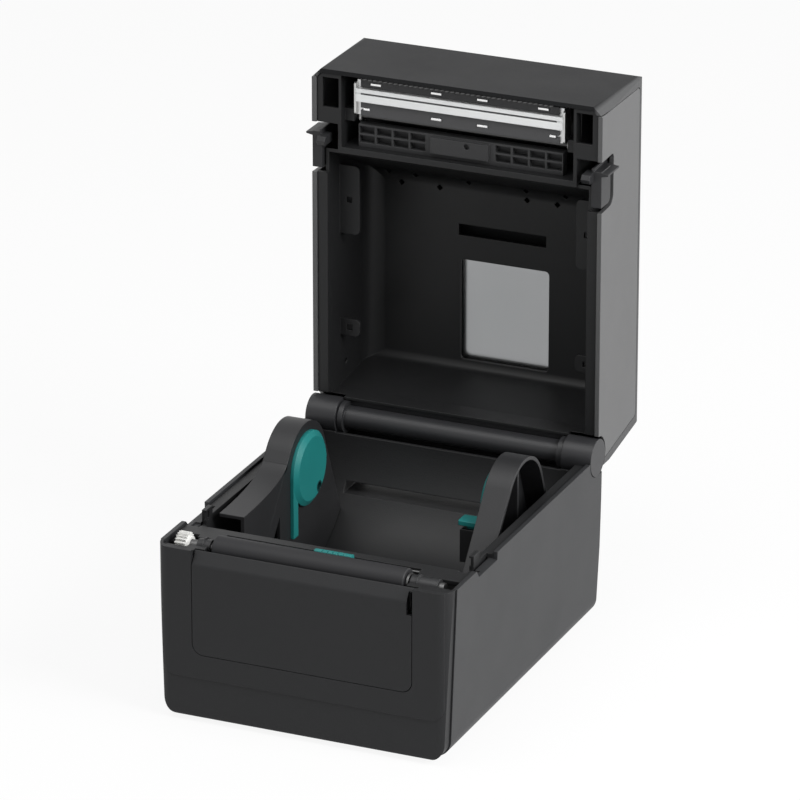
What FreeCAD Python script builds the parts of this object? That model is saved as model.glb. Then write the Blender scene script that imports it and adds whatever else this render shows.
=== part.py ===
import FreeCAD, Part
import math
import os

from FreeCAD import Vector

# Desktop thermal label printer, in millimetres. Every piece is drawn with the lid shut:
# x across, y back from the base's front face, z up from the table. The lid's pieces are
# then swung open about the hinge, and the whole stands centred over its own footprint.

# Whole machine
body_width = 170.0          # base and lid across the rim
base_depth = 215.0          # base front to rear at the rim
rim_height = 99.0           # rim of the base above the table
lid_height = 66.0           # lid roof above the rim
lid_setback = 3.0           # lid front face behind the base front face
lid_open_angle = 90.0       # swing of the lid from shut to open
rim_gap = 0.8               # seam between base and lid when shut
case_wall = 2.5             # moulded walls of base and lid
fit_gap = 0.3               # clearance between fixed mouldings
slide_gap = 0.5             # clearance round sliding pieces
bore_gap = 0.05             # running clearance of a pin in its bore
seam_gap = 0.4              # visible seam between two covers
round_least = 0.4           # smallest corner rounding

# Base outside
foot_height = 2.0           # rubber feet below the case
foot_radius = 7.0
foot_inset_x = 26.0         # foot centre in from the side at the rim
foot_inset_y = 26.0         # foot centre in from front and rear
side_draft = 3.6            # sides lean in by this towards the floor
rear_lean = 2.5             # rear wall leans in by this towards the floor
front_corner = 8.0          # plan rounding at the front
rear_corner = 6.0
bottom_round = 10.0         # rounding of the lower side edges
front_round = 2.5           # rounding of the lower front and rear edges
bezel_depth = 9.0           # front bezel wraps round the corners by this
face_step = 0.8             # bezel's border and chin behind its raised face
face_margin = 4.0           # raised face in from the sides at the rim
face_low = 26.0             # lower edge of the raised face above the table
face_corner = 8.0
floor_margin = 5.0          # bottom plate in from the end of the lower rounding
floor_ledge = 3.0           # ledge that the bottom plate lies against
plate_thick = 1.6           # bottom plate
vent_count = 7              # slots in the bottom plate
vent_start = 60.0
vent_step = 9.0
vent_half = 24.0
screw_radius = 2.6          # heads of the bottom screws
screw_head = 1.2
screw_stem = 1.3
screw_inset = 5.0           # screw centres in from the edge of the bottom plate
screw_from_end = 45.0       # screw centres in from the front and rear of the bottom plate
boss_half = 4.0             # square bosses over the bottom screws
boss_height = 5.0

# Front door
door_margin = 22.0          # door's ends in from the sides at the rim
door_bottom = 40.0          # lower edge of the door above the table
door_corner = 6.0
door_thick = 2.5
lip_height = 7.0            # sloping lip along the door's upper edge
lip_lean = 5.0              # lip leans back by this
lip_bend = 4.0              # rounding between door and lip
lip_drop = 1.0              # top of the lip below the rim
door_notch_width = 3.0
door_notch_height = 12.0
door_notch_drop = 2.0       # notch below the top of the lip

# Hinge
hinge_inset = 11.0          # hinge axis ahead of the rear face
knuckle_radius = 10.5
knuckle_length = 17.7
knuckle_lug = 14.0          # width of the knuckle's foot
hinge_pin_radius = 3.0
leaf_radius = 6.5           # tube of the hinge leaf
leaf_collar = 9.0           # collars at the ends of the tube
collar_width = 3.0
gutter_drop = 14.0          # gutter under the tube, below the rim
rear_wall_drop = 11.0       # rear wall stops this far below the rim

# Media bay
deck_drop = 1.5             # deck below the rim
deck_thick = 2.5
bay_wall = 2.0
bay_margin = 9.0            # bay side in from the case's side
scoop_gap = 9.0             # rear of the scoop ahead of the hinge axis
roll_drop = 2.0             # roll axis below the rim
ramp_front = 35.95          # ramp's upper edge behind the front face
ridge_drop = 6.5            # rear edge of the scoop below the rim
ledge_width = 3.0           # ledges in the case that carry the deck
ledge_height = 3.0

# Platen and its drive
platen_depth = 16.5         # platen axis behind the front face
platen_drop = 4.0           # platen axis below the rim
roller_radius = 7.5
roller_margin = 30.0        # case's side to the roller, before its offset
roller_offset = -1.0        # middle of the roller from the machine's middle
shaft_radius = 3.0
pan_gap = 1.0               # clearance of the pan under the roller
pan_wall = 2.0
bearing_plate = 3.0
bearing_space = 3.0         # between roller end and bearing plate
bush_radius = 4.4
bush_flange = 0.8           # flange of a bush, beyond its barrel
bush_length_right = 15.0
bush_length_left = 7.0
bush_inside = 0.6           # end of a bush inside its bearing plate
clip_radius = 5.2
clip_thick = 1.2
clip_grip = 0.5             # depth of the clip's groove in the shaft
clip_space = 0.6            # roller end to clip
roller_bevel = 0.6
gear_module = 0.6
gear_width = 7.5
gear_wall_space = 4.5       # gear to the case's side wall
platen_teeth = 20
idler_teeth = 40
motor_teeth = 14
idler_direction = -77.0     # from the platen axis, degrees above straight back
motor_direction_high = -38.0  # motor from the idler at its highest, degrees above straight back
motor_lift_angle = 2.0      # and above the ramp's slope, where the ramp is steep
stud_radius = 2.0
bracket_thick = 1.5
bracket_margin = 6.0        # motor bracket beyond its axes
bracket_flange = 8.0        # its flange under the deck, across
motor_radius = 17.5
motor_length = 28.0
motor_shaft_radius = 1.5
motor_boss_radius = 5.0
motor_ear = 5.0             # half the width of its ear
motor_ear_reach = 21.0
motor_flange = 1.5

# Sensor
sensor_width = 21.0
sensor_depth = 5.0
sensor_height = 4.0
sensor_offset = 7.0         # where the slider stands, from the machine's middle
sensor_channel_inset = 27.0 # channel's middle behind the front face
sensor_channel_margin = 29.0  # channel's ends in from the sides
sensor_channel_drop = 1.6
rail_radius = 0.8

# Roll guides
guide_side_gap = 2.5        # guide to the bay's side at its outer stop
guide_thick = 14.5
guide_wall = 2.0
guide_arch = 26.0           # rounded top of a guide, about the roll axis
guide_front_slope = 51.0    # degrees below the horizontal
guide_rear_slope = 67.0
guide_clearance = 0.8       # guide to the scoop under it
hub_radius = 21.0
hub_thick = 4.0
hub_bevel = 3.0
hub_hole_radius = 2.2
hub_hole_reach = 16.0
hub_hole_direction = -58.0
tail_width = 6.0
tail_thick = 2.0
tail_length = 34.0
window_wall = 9.0           # rim of the guide round its window
rack_pitch_radius = 8.0
rack_teeth = 16             # on the pinion
rack_height = 5.0
rack_back = 4.0
tray_thick = 2.0
tray_drop = 15.0            # tray below the lowest point of the scoop
tray_half_depth = 20.0
tray_clearance = 5.4        # tray over the tallest parts on the main board
tray_post = 4.0             # square posts between tray and scoop
neck_length = 9.0
neck_width = 4.0
neck_rise = 6.0             # neck above the lowest point of the scoop
guide_travel_in = 42.0
guide_travel_out = 2.0
pinion_bore = 2.5
lock_length = 10.5          # lock housing across
lock_depth = 9.0
lock_height = 19.0
lock_drop = 4.0             # lock tab below the rim
lock_tab_thick = 2.5
lock_travel = 2.0
lock_stem = 4.0
lock_stem_reach = 8.0

# Electronics
board_margin = 25.0         # board's edges in from the sides
board_depth = 84.0
board_thick = 1.6
board_height = 9.0          # board above the table
board_rear_gap = 2.0        # board to the rear wall
post_half = 3.0             # square posts under the board
chip_size = 16.0            # largest parts on the board
chip_height = 2.0
socket_proud = 0.6          # sockets stand out of the rear wall by this
inlet_x = -34.0             # low-voltage power inlet
inlet_width = 12.0
inlet_height = 12.0
inlet_depth = 14.0
inlet_mouth = 3.2           # radius of its round mouth
inlet_pin = 1.0
data_x = -2.0               # square data socket
data_width = 12.5
data_height = 11.5
data_depth = 16.5
data_wall = 2.0
data_tongue = 5.6
network_x = 30.0            # network socket
network_width = 16.5
network_height = 13.5
network_depth = 21.0
network_mouth = 12.0
network_sill = 3.4
network_key = 6.0           # slot for the plug's spring tab
mouth_depth = 10.0          # of every socket
switch_x = 58.0
switch_z = 30.0             # switch's middle above the table
switch_width = 13.0
switch_height = 19.0
switch_depth = 16.0
switch_wall = 1.5
switch_flange = 1.5         # flange of the switch, outwards and over the wall
switch_well = 8.0
rocker_angle = 8.0
rocker_pin = 0.8            # pins at the rocker's ends
rocker_sink = 4.5           # rocker's axis below the face of the switch
rocker_rise = 4.6           # rocker's crown above its axis
fanfold_margin = 27.0       # fan-fold slot's ends in from the sides
fanfold_z = 62.0
fanfold_height = 6.0
fanfold_wall = 2.0

# Latch
latch_depth = 40.0          # shaft axis behind the lid's front face
latch_height = 32.0         # shaft axis above the rim
latch_shaft_radius = 2.5
latch_eye = 2.5             # wall of the lever's eye round the shaft
latch_plate = 3.0
latch_tab_front = 36.5      # tab, behind the lid's front face
latch_tab_rear = 57.0
latch_tab_height = 13.0
latch_tab_corner = 4.0
latch_ridge = 3.0           # finger ridge, front to rear
latch_ridge_height = 17.0
latch_ridge_proud = 3.5
latch_slot_front = 31.0     # opening in the lid side round the lever
latch_slot_rear = 60.0
latch_slot_height = 19.5
latch_slot_corner = 3.0     # front and rear upper corners of the opening
latch_slot_round = 6.0
notch_depth = 4.5           # dip in the base rim under the lever
hook_reach = 3.5            # hook below the rim
hook_point = 1.5            # lead-in under the hook
hook_width = 4.0
hook_depth = 5.0
keeper_width = 8.5
keeper_depth = 8.0
keeper_rise = 3.0
keeper_gap = 0.5

# Lid
lid_draft = 2.5             # lid sides lean in by this towards the roof
lid_front_lean = 2.5
lid_rear_lean = 6.5         # rear wall leans forward by this towards the roof
lid_rear_reach = 9.0        # rear wall behind the hinge axis at its foot
lid_rear_foot = 9.0         # upright foot of the rear wall above the rim
lid_chamfer = 5.5           # cut corners between front and sides
lid_roof_round = 2.5
lid_rear_round = 4.0
lid_foot_round = 3.0        # bend of the rear wall over its foot
panel_corner = 3.0          # corners of the side panels
panel_band = 5.0            # cover's band round each side panel
knuckle_clearance = 1.5     # lid sides round the knuckles
liner_wall = 2.0
liner_drop = 1.0            # liner's flange behind the rim
flange_thick = 2.0
cavity_margin = 8.5         # roll cavity in from the sides, at the rim
cavity_draft = 2.0
cavity_roof_gap = 12.0      # roof of the cavity below the roof of the lid
cavity_round = 10.0
cavity_rear_round = 5.0
cavity_front = 46.0         # behind the lid's front face, at the rim
cavity_front_lean = 27.0
cavity_rear = 11.0          # ahead of the hinge axis
cavity_rear_foot = 15.0
cavity_rear_lean = 6.0
head_bay_margin = 17.0      # space round the print head in from the sides
head_bay_rear = 44.0
head_bay_roof = 26.0
window_width = 55.0
window_length = 61.5
window_offset = 7.0         # window's middle from the lid's middle
window_rear = 21.0          # window's rear edge ahead of the hinge axis
window_corner = 3.0
window_rebate = 1.0         # liner's opening inside the cover's, all round
window_thick = 2.0
window_margin = 4.0
vent_width = 52.0
vent_offset = 5.5
vent_length = 6.5
vent_ahead = 19.5           # slot's front edge ahead of the window
clip_hole = 1.8             # half the diagonal of the liner's small holes
clip_front = 73.5           # two rows in the roof, behind the lid's front face
clip_front_places = (-62.0, -46.0, -14.0, 20.0, 43.5)
clip_rear = 79.5
clip_rear_places = (-55.0, -32.0, 20.0, 38.0)
clip_side_ahead = 23.0      # one in each side of the liner, ahead of the hinge axis
clip_side_height = 24.0
tab_height = 17.0           # screw tabs on the liner's sides, above the rim
tab_width = 12.5            # tabs across
tab_front = 60.0            # front tab, behind the lid's front face
tab_ahead = 30.0            # front tab ends ahead of the roll axis
tab_behind = 20.0           # rear tab starts behind the roll axis
tab_rear_length = 10.0
tab_corner = 3.0
tab_hole = 3.2

# Print head
head_beyond = 5.5           # head beyond the roller's length at each end
head_gap = 0.4              # head to platen when shut
strip_width = 7.4
strip_thick = 1.2
strip_line = 0.6            # groove beside the row of heating dots
strip_ahead = 3.7           # strip's front edge ahead of the platen axis
pedestal_height = 2.0
sink_front = 8.0            # heat sink ahead of the platen axis
sink_rear = 12.0            # heat sink behind the platen axis
sink_thick = 5.0
fin_count = 4                # grooves in the back of the heat sink
fin_gap = 1.2
fin_depth = 2.0
cover_thick = 1.6
cover_gap = 0.6             # head covers clear of the strip
head_cover_inset = 2.5      # covers' ends in from the head's ends
cover_ahead = 0.8           # front cover ahead of the heat sink
slot_length = 7.0
slot_width = 1.4
slot_inner = 13.5           # inner slots from the middle
front_slot_end = 9.0        # outer slots from the end of the front cover
rear_slot_end = 1.0
bracket_steel = 1.2
bracket_gap = 0.8
head_pivot_rear = 15.5      # pivot behind the platen axis
head_pivot_height = 15.0    # pivot above the rim
head_pin_radius = 1.5
ear_radius = 3.5
flange_corner = 2.0         # lower corners of the end flanges
spring_radius = 3.5
spring_wire = 0.8
spring_spacing = 70.0

# Pieces beside the print head
comb_cell_count = 12
comb_inset = 0.5            # comb's ends in from the head's ends
comb_front = 31.0           # behind the lid's front face
comb_depth = 6.0
comb_row = 5.2              # pitch of the two rows of cells, front to rear
comb_height = 7.0           # comb face above the rim
comb_wall = 1.2
comb_cell_depth = 4.0
comb_block = 34.0
comb_block_proud = 2.0
comb_hole = 1.6
comb_hole_x = 4.5
post_block = 8.0
tear_beyond = 1.0           # tear bar beyond the roller's length at each end
tear_thick = 0.8
tear_height = 6.0
tear_pitch = 3.0
tear_tooth = 1.2
button_radius = 6.0
button_margin = 33.0        # button in from the lid's side
button_depth = 22.0         # behind the lid's front face
button_travel = 1.2
button_sink = 0.4           # top of the button below the roof
button_length = 7.0
lens_radius = 1.8
lens_spacing = 14.0         # lens beside the button
panel_board_thick = 1.6
panel_board_drop = 11.0     # below the roof
panel_board_margin = 12.0
panel_post = 3.0            # square posts over the small board

# Places that follow from the sizes above
half_width = body_width / 2
face_half = half_width - face_margin
door_width = body_width - 2 * door_margin
hinge_y = base_depth - hinge_inset
hinge_z = rim_height
overall_depth = hinge_y + lid_height
deck_top = rim_height - deck_drop
deck_bottom = deck_top - deck_thick
roll_z = rim_height - roll_drop
platen_z = rim_height - platen_drop
bay_half = half_width - bay_margin
tray_low = board_height + board_thick + chip_height + tray_clearance
tray_top = tray_low + tray_thick
scoop_low = tray_low + tray_drop
bay_radius = roll_z - bay_wall - scoop_low
scoop_rear = hinge_y - scoop_gap
roll_depth = scoop_rear - bay_radius
gutter_z = rim_height - gutter_drop
knuckle_inner = half_width - knuckle_length
leaf_half = knuckle_inner - slide_gap
roller_length = body_width - 2 * roller_margin
roller_left = roller_offset - roller_length / 2
roller_right = roller_offset + roller_length / 2
plate_left = roller_left - bearing_space - bearing_plate
plate_right = roller_right + bearing_space
clip_x = roller_right + clip_space
gear_left = -(half_width - case_wall - gear_wall_space)
gear_right = gear_left + gear_width
bracket_x = gear_right + slide_gap
gear_room = roller_radius + 1
head_z = platen_z + roller_radius + head_gap
guide_outer = bay_half - guide_travel_out - guide_side_gap
guide_inner = guide_outer - guide_thick
hub_face = guide_inner - hub_thick
tray_half_length = guide_outer + guide_travel_out + slide_gap
roof_z = rim_height + lid_height
latch_y = lid_setback + latch_depth
latch_z = rim_height + latch_height
cavity_half = half_width - cavity_margin
cavity_roof = lid_height - cavity_roof_gap
head_bay_half = half_width - head_bay_margin
lever_inner = cavity_half + liner_wall + slide_gap
lever_outer = lever_inner + latch_plate
arm_outer = half_width - case_wall - lid_draft * latch_height / lid_height - 2 * slide_gap
keeper_y = latch_y + hook_depth / 2 + keeper_gap
sensor_channel_half = half_width - sensor_channel_margin
board_width = body_width - 2 * board_margin
fanfold_half = half_width - fanfold_margin
window_front = hinge_y - window_rear - window_length - lid_setback
vent_front = window_front - vent_ahead
head_length = roller_length + 2 * head_beyond
head_cover_length = head_length - 2 * head_cover_inset
comb_length = head_length - 2 * comb_inset
tear_length = roller_length + 2 * tear_beyond
button_x = half_width - button_margin
lens_x = button_x - lens_spacing
screw_end = foot_height + plate_thick + boss_height - 1
reach = body_width + base_depth + rim_height + lid_height

# The ramp is the tangent from its upper edge to the round floor of the scoop
ramp_run = roll_depth - ramp_front
ramp_rise = roll_z - deck_top
ramp_slope = math.asin(bay_radius / math.hypot(ramp_run, ramp_rise)) - math.atan2(ramp_rise, ramp_run)
motor_direction = min(motor_direction_high, motor_lift_angle - math.degrees(ramp_slope))


def to_space(plane, a, b, level):
    """Point of a drawing plane in space."""
    if plane == "yz":
        return Vector(level, a, b)
    if plane == "xz":
        return Vector(a, level, b)
    return Vector(a, b, level)


def box(x0, x1, y0, y1, z0, z1):
    return Part.makeBox(x1 - x0, y1 - y0, z1 - z0, Vector(x0, y0, z0))


def rod_x(radius, x0, x1, y, z):
    return Part.makeCylinder(radius, x1 - x0, Vector(x0, y, z), Vector(1, 0, 0))


def rod_y(radius, x, y0, y1, z):
    return Part.makeCylinder(radius, y1 - y0, Vector(x, y0, z), Vector(0, 1, 0))


def rod_z(radius, x, y, z0, z1):
    return Part.makeCylinder(radius, z1 - z0, Vector(x, y, z0), Vector(0, 0, 1))


def rounded_wire(plane, points, radii, level):
    """Closed outline through the points, each corner rounded by its own radius."""
    count = len(points)
    ends = []
    edges = []
    for i in range(count):
        corner = to_space(plane, points[i][0], points[i][1], level)
        before = to_space(plane, points[i - 1][0], points[i - 1][1], level) - corner
        after = to_space(plane, points[(i + 1) % count][0], points[(i + 1) % count][1], level) - corner
        before.normalize()
        after.normalize()
        if radii[i] == 0:
            ends.append((corner, corner, None))
            continue
        half_angle = before.getAngle(after) / 2
        run = radii[i] / math.tan(half_angle)
        inward = before + after
        inward.normalize()
        middle = corner + inward * (radii[i] / math.sin(half_angle) - radii[i])
        ends.append((corner + before * run, corner + after * run, middle))
    for i in range(count):
        start, stop, middle = ends[i]
        if middle is not None:
            edges.append(Part.Arc(start, middle, stop).toShape())
        following = ends[(i + 1) % count][0]
        if stop.distanceToPoint(following) > 1e-6:
            edges.append(Part.LineSegment(stop, following).toShape())
    return Part.Wire(edges)


def prism(plane, points, radii, start, stop):
    """Rounded outline carried straight from one level to another."""
    if not isinstance(radii, list):
        radii = [radii] * len(points)
    face = Part.Face(rounded_wire(plane, points, radii, start))
    return face.extrude(to_space(plane, 0, 0, stop - start))


def rectangle(a0, a1, b0, b1):
    return [(a0, b0), (a1, b0), (a1, b1), (a0, b1)]


def both_sides(shape):
    """The shape and its mirror image across the machine's middle."""
    return [shape, mirrored(shape)]


def mirrored(shape):
    return shape.mirror(Vector(0, 0, 0), Vector(1, 0, 0))


def joined(shapes):
    """One solid from pieces that touch or overlap."""
    return shapes[0].fuse(shapes[1:]).removeSplitter()


def gear(teeth, module, x0, x1, y, z, phase):
    """Involute spur gear about an x axis, with a tooth centred at the phase angle."""
    pitch = module * teeth / 2
    pressure = math.radians(20)
    base = pitch * math.cos(pressure)
    tip = pitch + 0.85 * module
    root = pitch - 1.2 * module
    slack = 0.12 * module
    half_tooth = math.pi / (2 * teeth) - slack / pitch + math.tan(pressure) - pressure
    flank = []
    for share in (0.0, 1.0):
        radius = max(base, root) + (tip - max(base, root)) * share
        roll = math.acos(min(1.0, base / radius))
        flank.append((radius, half_tooth - math.tan(roll) + roll))
    side = flank
    if root < base:
        side = [(root, flank[0][1])] + flank
    points = []
    for i in range(teeth):
        middle = phase + 2 * math.pi * i / teeth
        turned = [(r, middle - a) for r, a in side] + [(r, middle + a) for r, a in reversed(side)]
        points += [(y + r * math.cos(a), z + r * math.sin(a)) for r, a in turned]
    return prism("yz", points, 0, x0, x1)


# Base

def base_edge(inset, z):
    """Half width of the base at a height, drawn in by the inset."""
    return half_width - inset - side_draft * (rim_height - z) / (rim_height - foot_height)


def rear_face(z):
    """Rear face of the base at a height."""
    return base_depth - rear_lean * (rim_height - z) / (rim_height - foot_height)


def base_block(inset):
    """Body of the base, drawn in by the inset from every wall but open at the rim."""
    low = foot_height + inset
    edge = max(bottom_round - inset, round_least)
    ends = max(front_round - inset, round_least)
    front = max(front_corner - inset, round_least)
    rear = max(rear_corner - inset, round_least)
    top_half = half_width - inset
    low_half = base_edge(inset, low)
    side = prism("yz", [(inset, rim_height), (inset, low), (rear_face(low) - inset, low),
                        (base_depth - inset, rim_height)], [0, ends, ends, 0], -half_width, half_width)
    front_view = prism("xz", [(-top_half, rim_height), (-low_half, low), (low_half, low),
                              (top_half, rim_height)], [0, edge, edge, 0], 0, base_depth)
    plan = prism("xy", rectangle(-top_half, top_half, inset, base_depth - inset),
                 [front, front, rear, rear], 0, rim_height)
    return side.common(front_view).common(plan)


def floor_outline(inset):
    """Plan of the opening under the base."""
    half = base_edge(0, foot_height) - bottom_round - floor_margin - inset
    front = bottom_round + floor_margin + inset
    rear = rear_face(foot_height) - bottom_round - floor_margin - inset
    return rectangle(-half, half, front, rear)


def latch_opening(front, rear, gap):
    """Stretch of the side, front to rear, that the latch lever swings through."""
    return lid_setback + front - gap, lid_setback + rear + gap


def sockets():
    """Rear sockets: name, middle across, width, height and depth."""
    return [("power_inlet", inlet_x, inlet_width, inlet_height, inlet_depth),
            ("data_socket", data_x, data_width, data_height, data_depth),
            ("network_socket", network_x, network_width, network_height, network_depth)]


def rear_openings(gap):
    """Cuts through the rear wall for the sockets, the switch and the fan-fold slot."""
    floor = board_height + board_thick
    inside = base_depth - rear_lean - 3 * case_wall
    outside = base_depth + 1
    cuts = []
    for name, middle, width, height, depth in sockets():
        half = width / 2 + gap
        cuts.append(box(middle - half, middle + half, inside, outside, floor - gap, floor + height + gap))
    half_x = switch_width / 2 + gap
    half_z = switch_height / 2 + gap
    cuts.append(box(switch_x - half_x, switch_x + half_x, inside, outside,
                    switch_z - half_z, switch_z + half_z))
    cuts.append(box(-fanfold_half, fanfold_half, inside, outside, fanfold_z, fanfold_z + fanfold_height))
    return cuts


def hook_room():
    """Space under the rim that the right lever's hook and foot swing through."""
    front, rear = latch_opening(latch_slot_front, latch_slot_rear, 0)
    low = rim_height - hook_reach - hook_point - slide_gap
    side = base_edge(case_wall, low)
    hook = box(lever_inner - hook_width - slide_gap, side, front, keeper_y, low, reach)
    foot = box(lever_inner - slide_gap, side, front, rear, rim_height - notch_depth, reach)
    return hook.fuse(foot)


def make_lower_case():
    shell = base_block(0).cut(base_block(case_wall))
    front, rear = latch_opening(latch_slot_front, latch_slot_rear, 0)
    notch = prism("yz", [(front, rim_height + 1), (front + notch_depth, rim_height - notch_depth),
                         (rear, rim_height - notch_depth), (rear, rim_height + 1)], 0,
                  base_edge(2 * case_wall, rim_height), half_width + 1)
    ledge = box(base_edge(case_wall, deck_bottom) - ledge_width, half_width - case_wall / 2,
                bezel_depth + front_corner, hinge_y - knuckle_radius - ledge_height,
                deck_bottom - ledge_height, deck_bottom)
    low = foot_height
    cuts = [prism("xy", floor_outline(floor_ledge), bottom_round, low - 1, low + 2 * case_wall),
            prism("xy", floor_outline(0), bottom_round, low - 1, low + plate_thick)]
    bosses = [box(x - boss_half, x + boss_half, y - boss_half, y + boss_half, low + plate_thick,
                  low + plate_thick + boss_height) for x, y in bottom_screw_places()]
    shell = joined([shell.cut(cuts)] + both_sides(ledge.common(base_block(case_wall / 2))) + bosses)
    cuts = [box(-half_width, half_width, -1, bezel_depth, 0, rim_height + 1),
            rod_x(knuckle_radius + fit_gap, -half_width - 1, half_width + 1, hinge_y, hinge_z),
            box(-half_width - 1, half_width + 1, hinge_y, base_depth + 1,
                rim_height - rear_wall_drop, rim_height + 1)]
    cuts += [rod_z(screw_stem, x, y, low, screw_end) for x, y in bottom_screw_places()]
    return shell.cut(cuts + both_sides(notch) + both_sides(hook_room()) + rear_openings(fit_gap))


def door_opening(gap):
    """Front view of the door or of its opening, open at the top."""
    half = door_width / 2 + gap
    low = door_bottom - gap
    return [(-half, rim_height + 1), (-half, low), (half, low), (half, rim_height + 1)]


def make_front_bezel():
    """Front wall with a raised face round the door, a chin below it and a border at each corner."""
    raised = prism("xz", rectangle(-face_half, face_half, face_low, rim_height + 1),
                   [face_corner, face_corner, 0, 0], -1, bezel_depth)
    outside = base_block(face_step).fuse(base_block(0).common(raised))
    ends = box(-half_width, half_width, -1, bezel_depth - seam_gap, 0, rim_height + 1)
    corner = door_corner + seam_gap
    door = prism("xz", door_opening(seam_gap), [0, corner, corner, 0], -1, bezel_depth + 1)
    return outside.common(ends).cut([base_block(case_wall), door]).removeSplitter()


def make_front_door():
    top = rim_height - lip_drop
    bend = top - lip_height
    section = [(0, door_bottom - 1), (door_thick, door_bottom - 1), (door_thick, bend),
               (lip_lean + door_thick / 2, top - door_thick / 2), (lip_lean, top), (0, bend)]
    corners = [0, 0, 0, round_least, round_least, lip_bend]
    plate = prism("yz", section, corners, -door_width / 2, door_width / 2)
    outline = prism("xz", door_opening(0), [0, door_corner, door_corner, 0], -1, lip_lean + door_thick)
    plate = plate.common(outline)
    notch = box(door_width / 2 - door_notch_width, door_width / 2 + 1, -1, lip_lean + door_thick,
                top - door_notch_drop - door_notch_height, top - door_notch_drop)
    return plate.cut(notch)


def make_bottom_plate():
    low = foot_height
    plate = prism("xy", floor_outline(fit_gap), bottom_round, low, low + plate_thick)
    vents = []
    for i in range(vent_count):
        y = vent_start + i * vent_step
        vents.append(box(-vent_half, vent_half, y, y + vent_step / 3, low - 1, low + plate_thick + 1))
    half = post_half
    posts = [box(x - half, x + half, y - half, y + half, low + plate_thick / 2, board_height)
             for x, y in board_posts()]
    holes = [rod_z(screw_stem, x, y, low - 1, low + plate_thick + 1) for x, y in bottom_screw_places()]
    return joined([plate] + posts).cut(vents + holes)


def bottom_screw_places():
    front_left, front_right, rear_right, rear_left = floor_outline(0)
    x = front_right[0] - screw_inset
    y0 = front_left[1] + screw_from_end
    y1 = rear_left[1] - screw_from_end
    return [(-x, y0), (x, y0), (x, y1), (-x, y1)]


def make_bottom_screws():
    low = foot_height
    screws = []
    for x, y in bottom_screw_places():
        head = rod_z(screw_radius, x, y, low - screw_head, low)
        stem = rod_z(screw_stem, x, y, low - screw_head / 2, screw_end)
        screws.append(joined([head, stem]))
    return Part.makeCompound(screws)


def make_rubber_feet():
    feet = []
    for x in (-half_width + foot_inset_x, half_width - foot_inset_x):
        for y in (foot_inset_y, base_depth - foot_inset_y):
            foot = Part.makeCone(foot_radius - 1, foot_radius, foot_height, Vector(x, y, 0), Vector(0, 0, 1))
            feet.append(foot)
    return Part.makeCompound(feet)


# Media bay

def bay_section(grow, top):
    """Side view of the scoop: ramp, round floor and upright rear, grown by a wall."""
    slope = ramp_slope
    radius = bay_radius + grow
    foot = (roll_depth - radius * math.sin(slope), roll_z - radius * math.cos(slope))
    head = (foot[0] - (top - foot[1]) / math.tan(slope), top)
    lowest = (roll_depth, roll_z - radius)
    rear = (roll_depth + radius, roll_z)
    rear_top = (roll_depth + radius, top)
    corners = [Vector(0, a, b) for a, b in (head, foot, lowest, rear, rear_top)]
    edges = [Part.LineSegment(corners[0], corners[1]).toShape(),
             Part.Arc(corners[1], corners[2], corners[3]).toShape(),
             Part.LineSegment(corners[3], corners[4]).toShape(),
             Part.LineSegment(corners[4], corners[0]).toShape()]
    return Part.Face(Part.Wire(edges))


def bay_prism(grow, top, half):
    face = bay_section(grow, top)
    face.translate(Vector(-half, 0, 0))
    return face.extrude(Vector(2 * half, 0, 0))


def rack_side(side):
    """Middle of a guide's neck from the roll axis, front to rear."""
    return side * (rack_pitch_radius + 1.25 * rack_module() + rack_back / 2)


def rack_module():
    return 2 * rack_pitch_radius / rack_teeth


def neck_slot(side):
    """Slot in the scoop's floor along the travel of one guide's neck."""
    inner = guide_inner - guide_travel_in
    outer = guide_outer + guide_travel_out
    y = roll_depth - rack_side(side)
    half = neck_width / 2 + slide_gap
    if side < 0:
        return box(-outer, -inner, y - half, y + half, tray_top, roll_z)
    return box(inner, outer, y - half, y + half, tray_top, roll_z)


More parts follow.
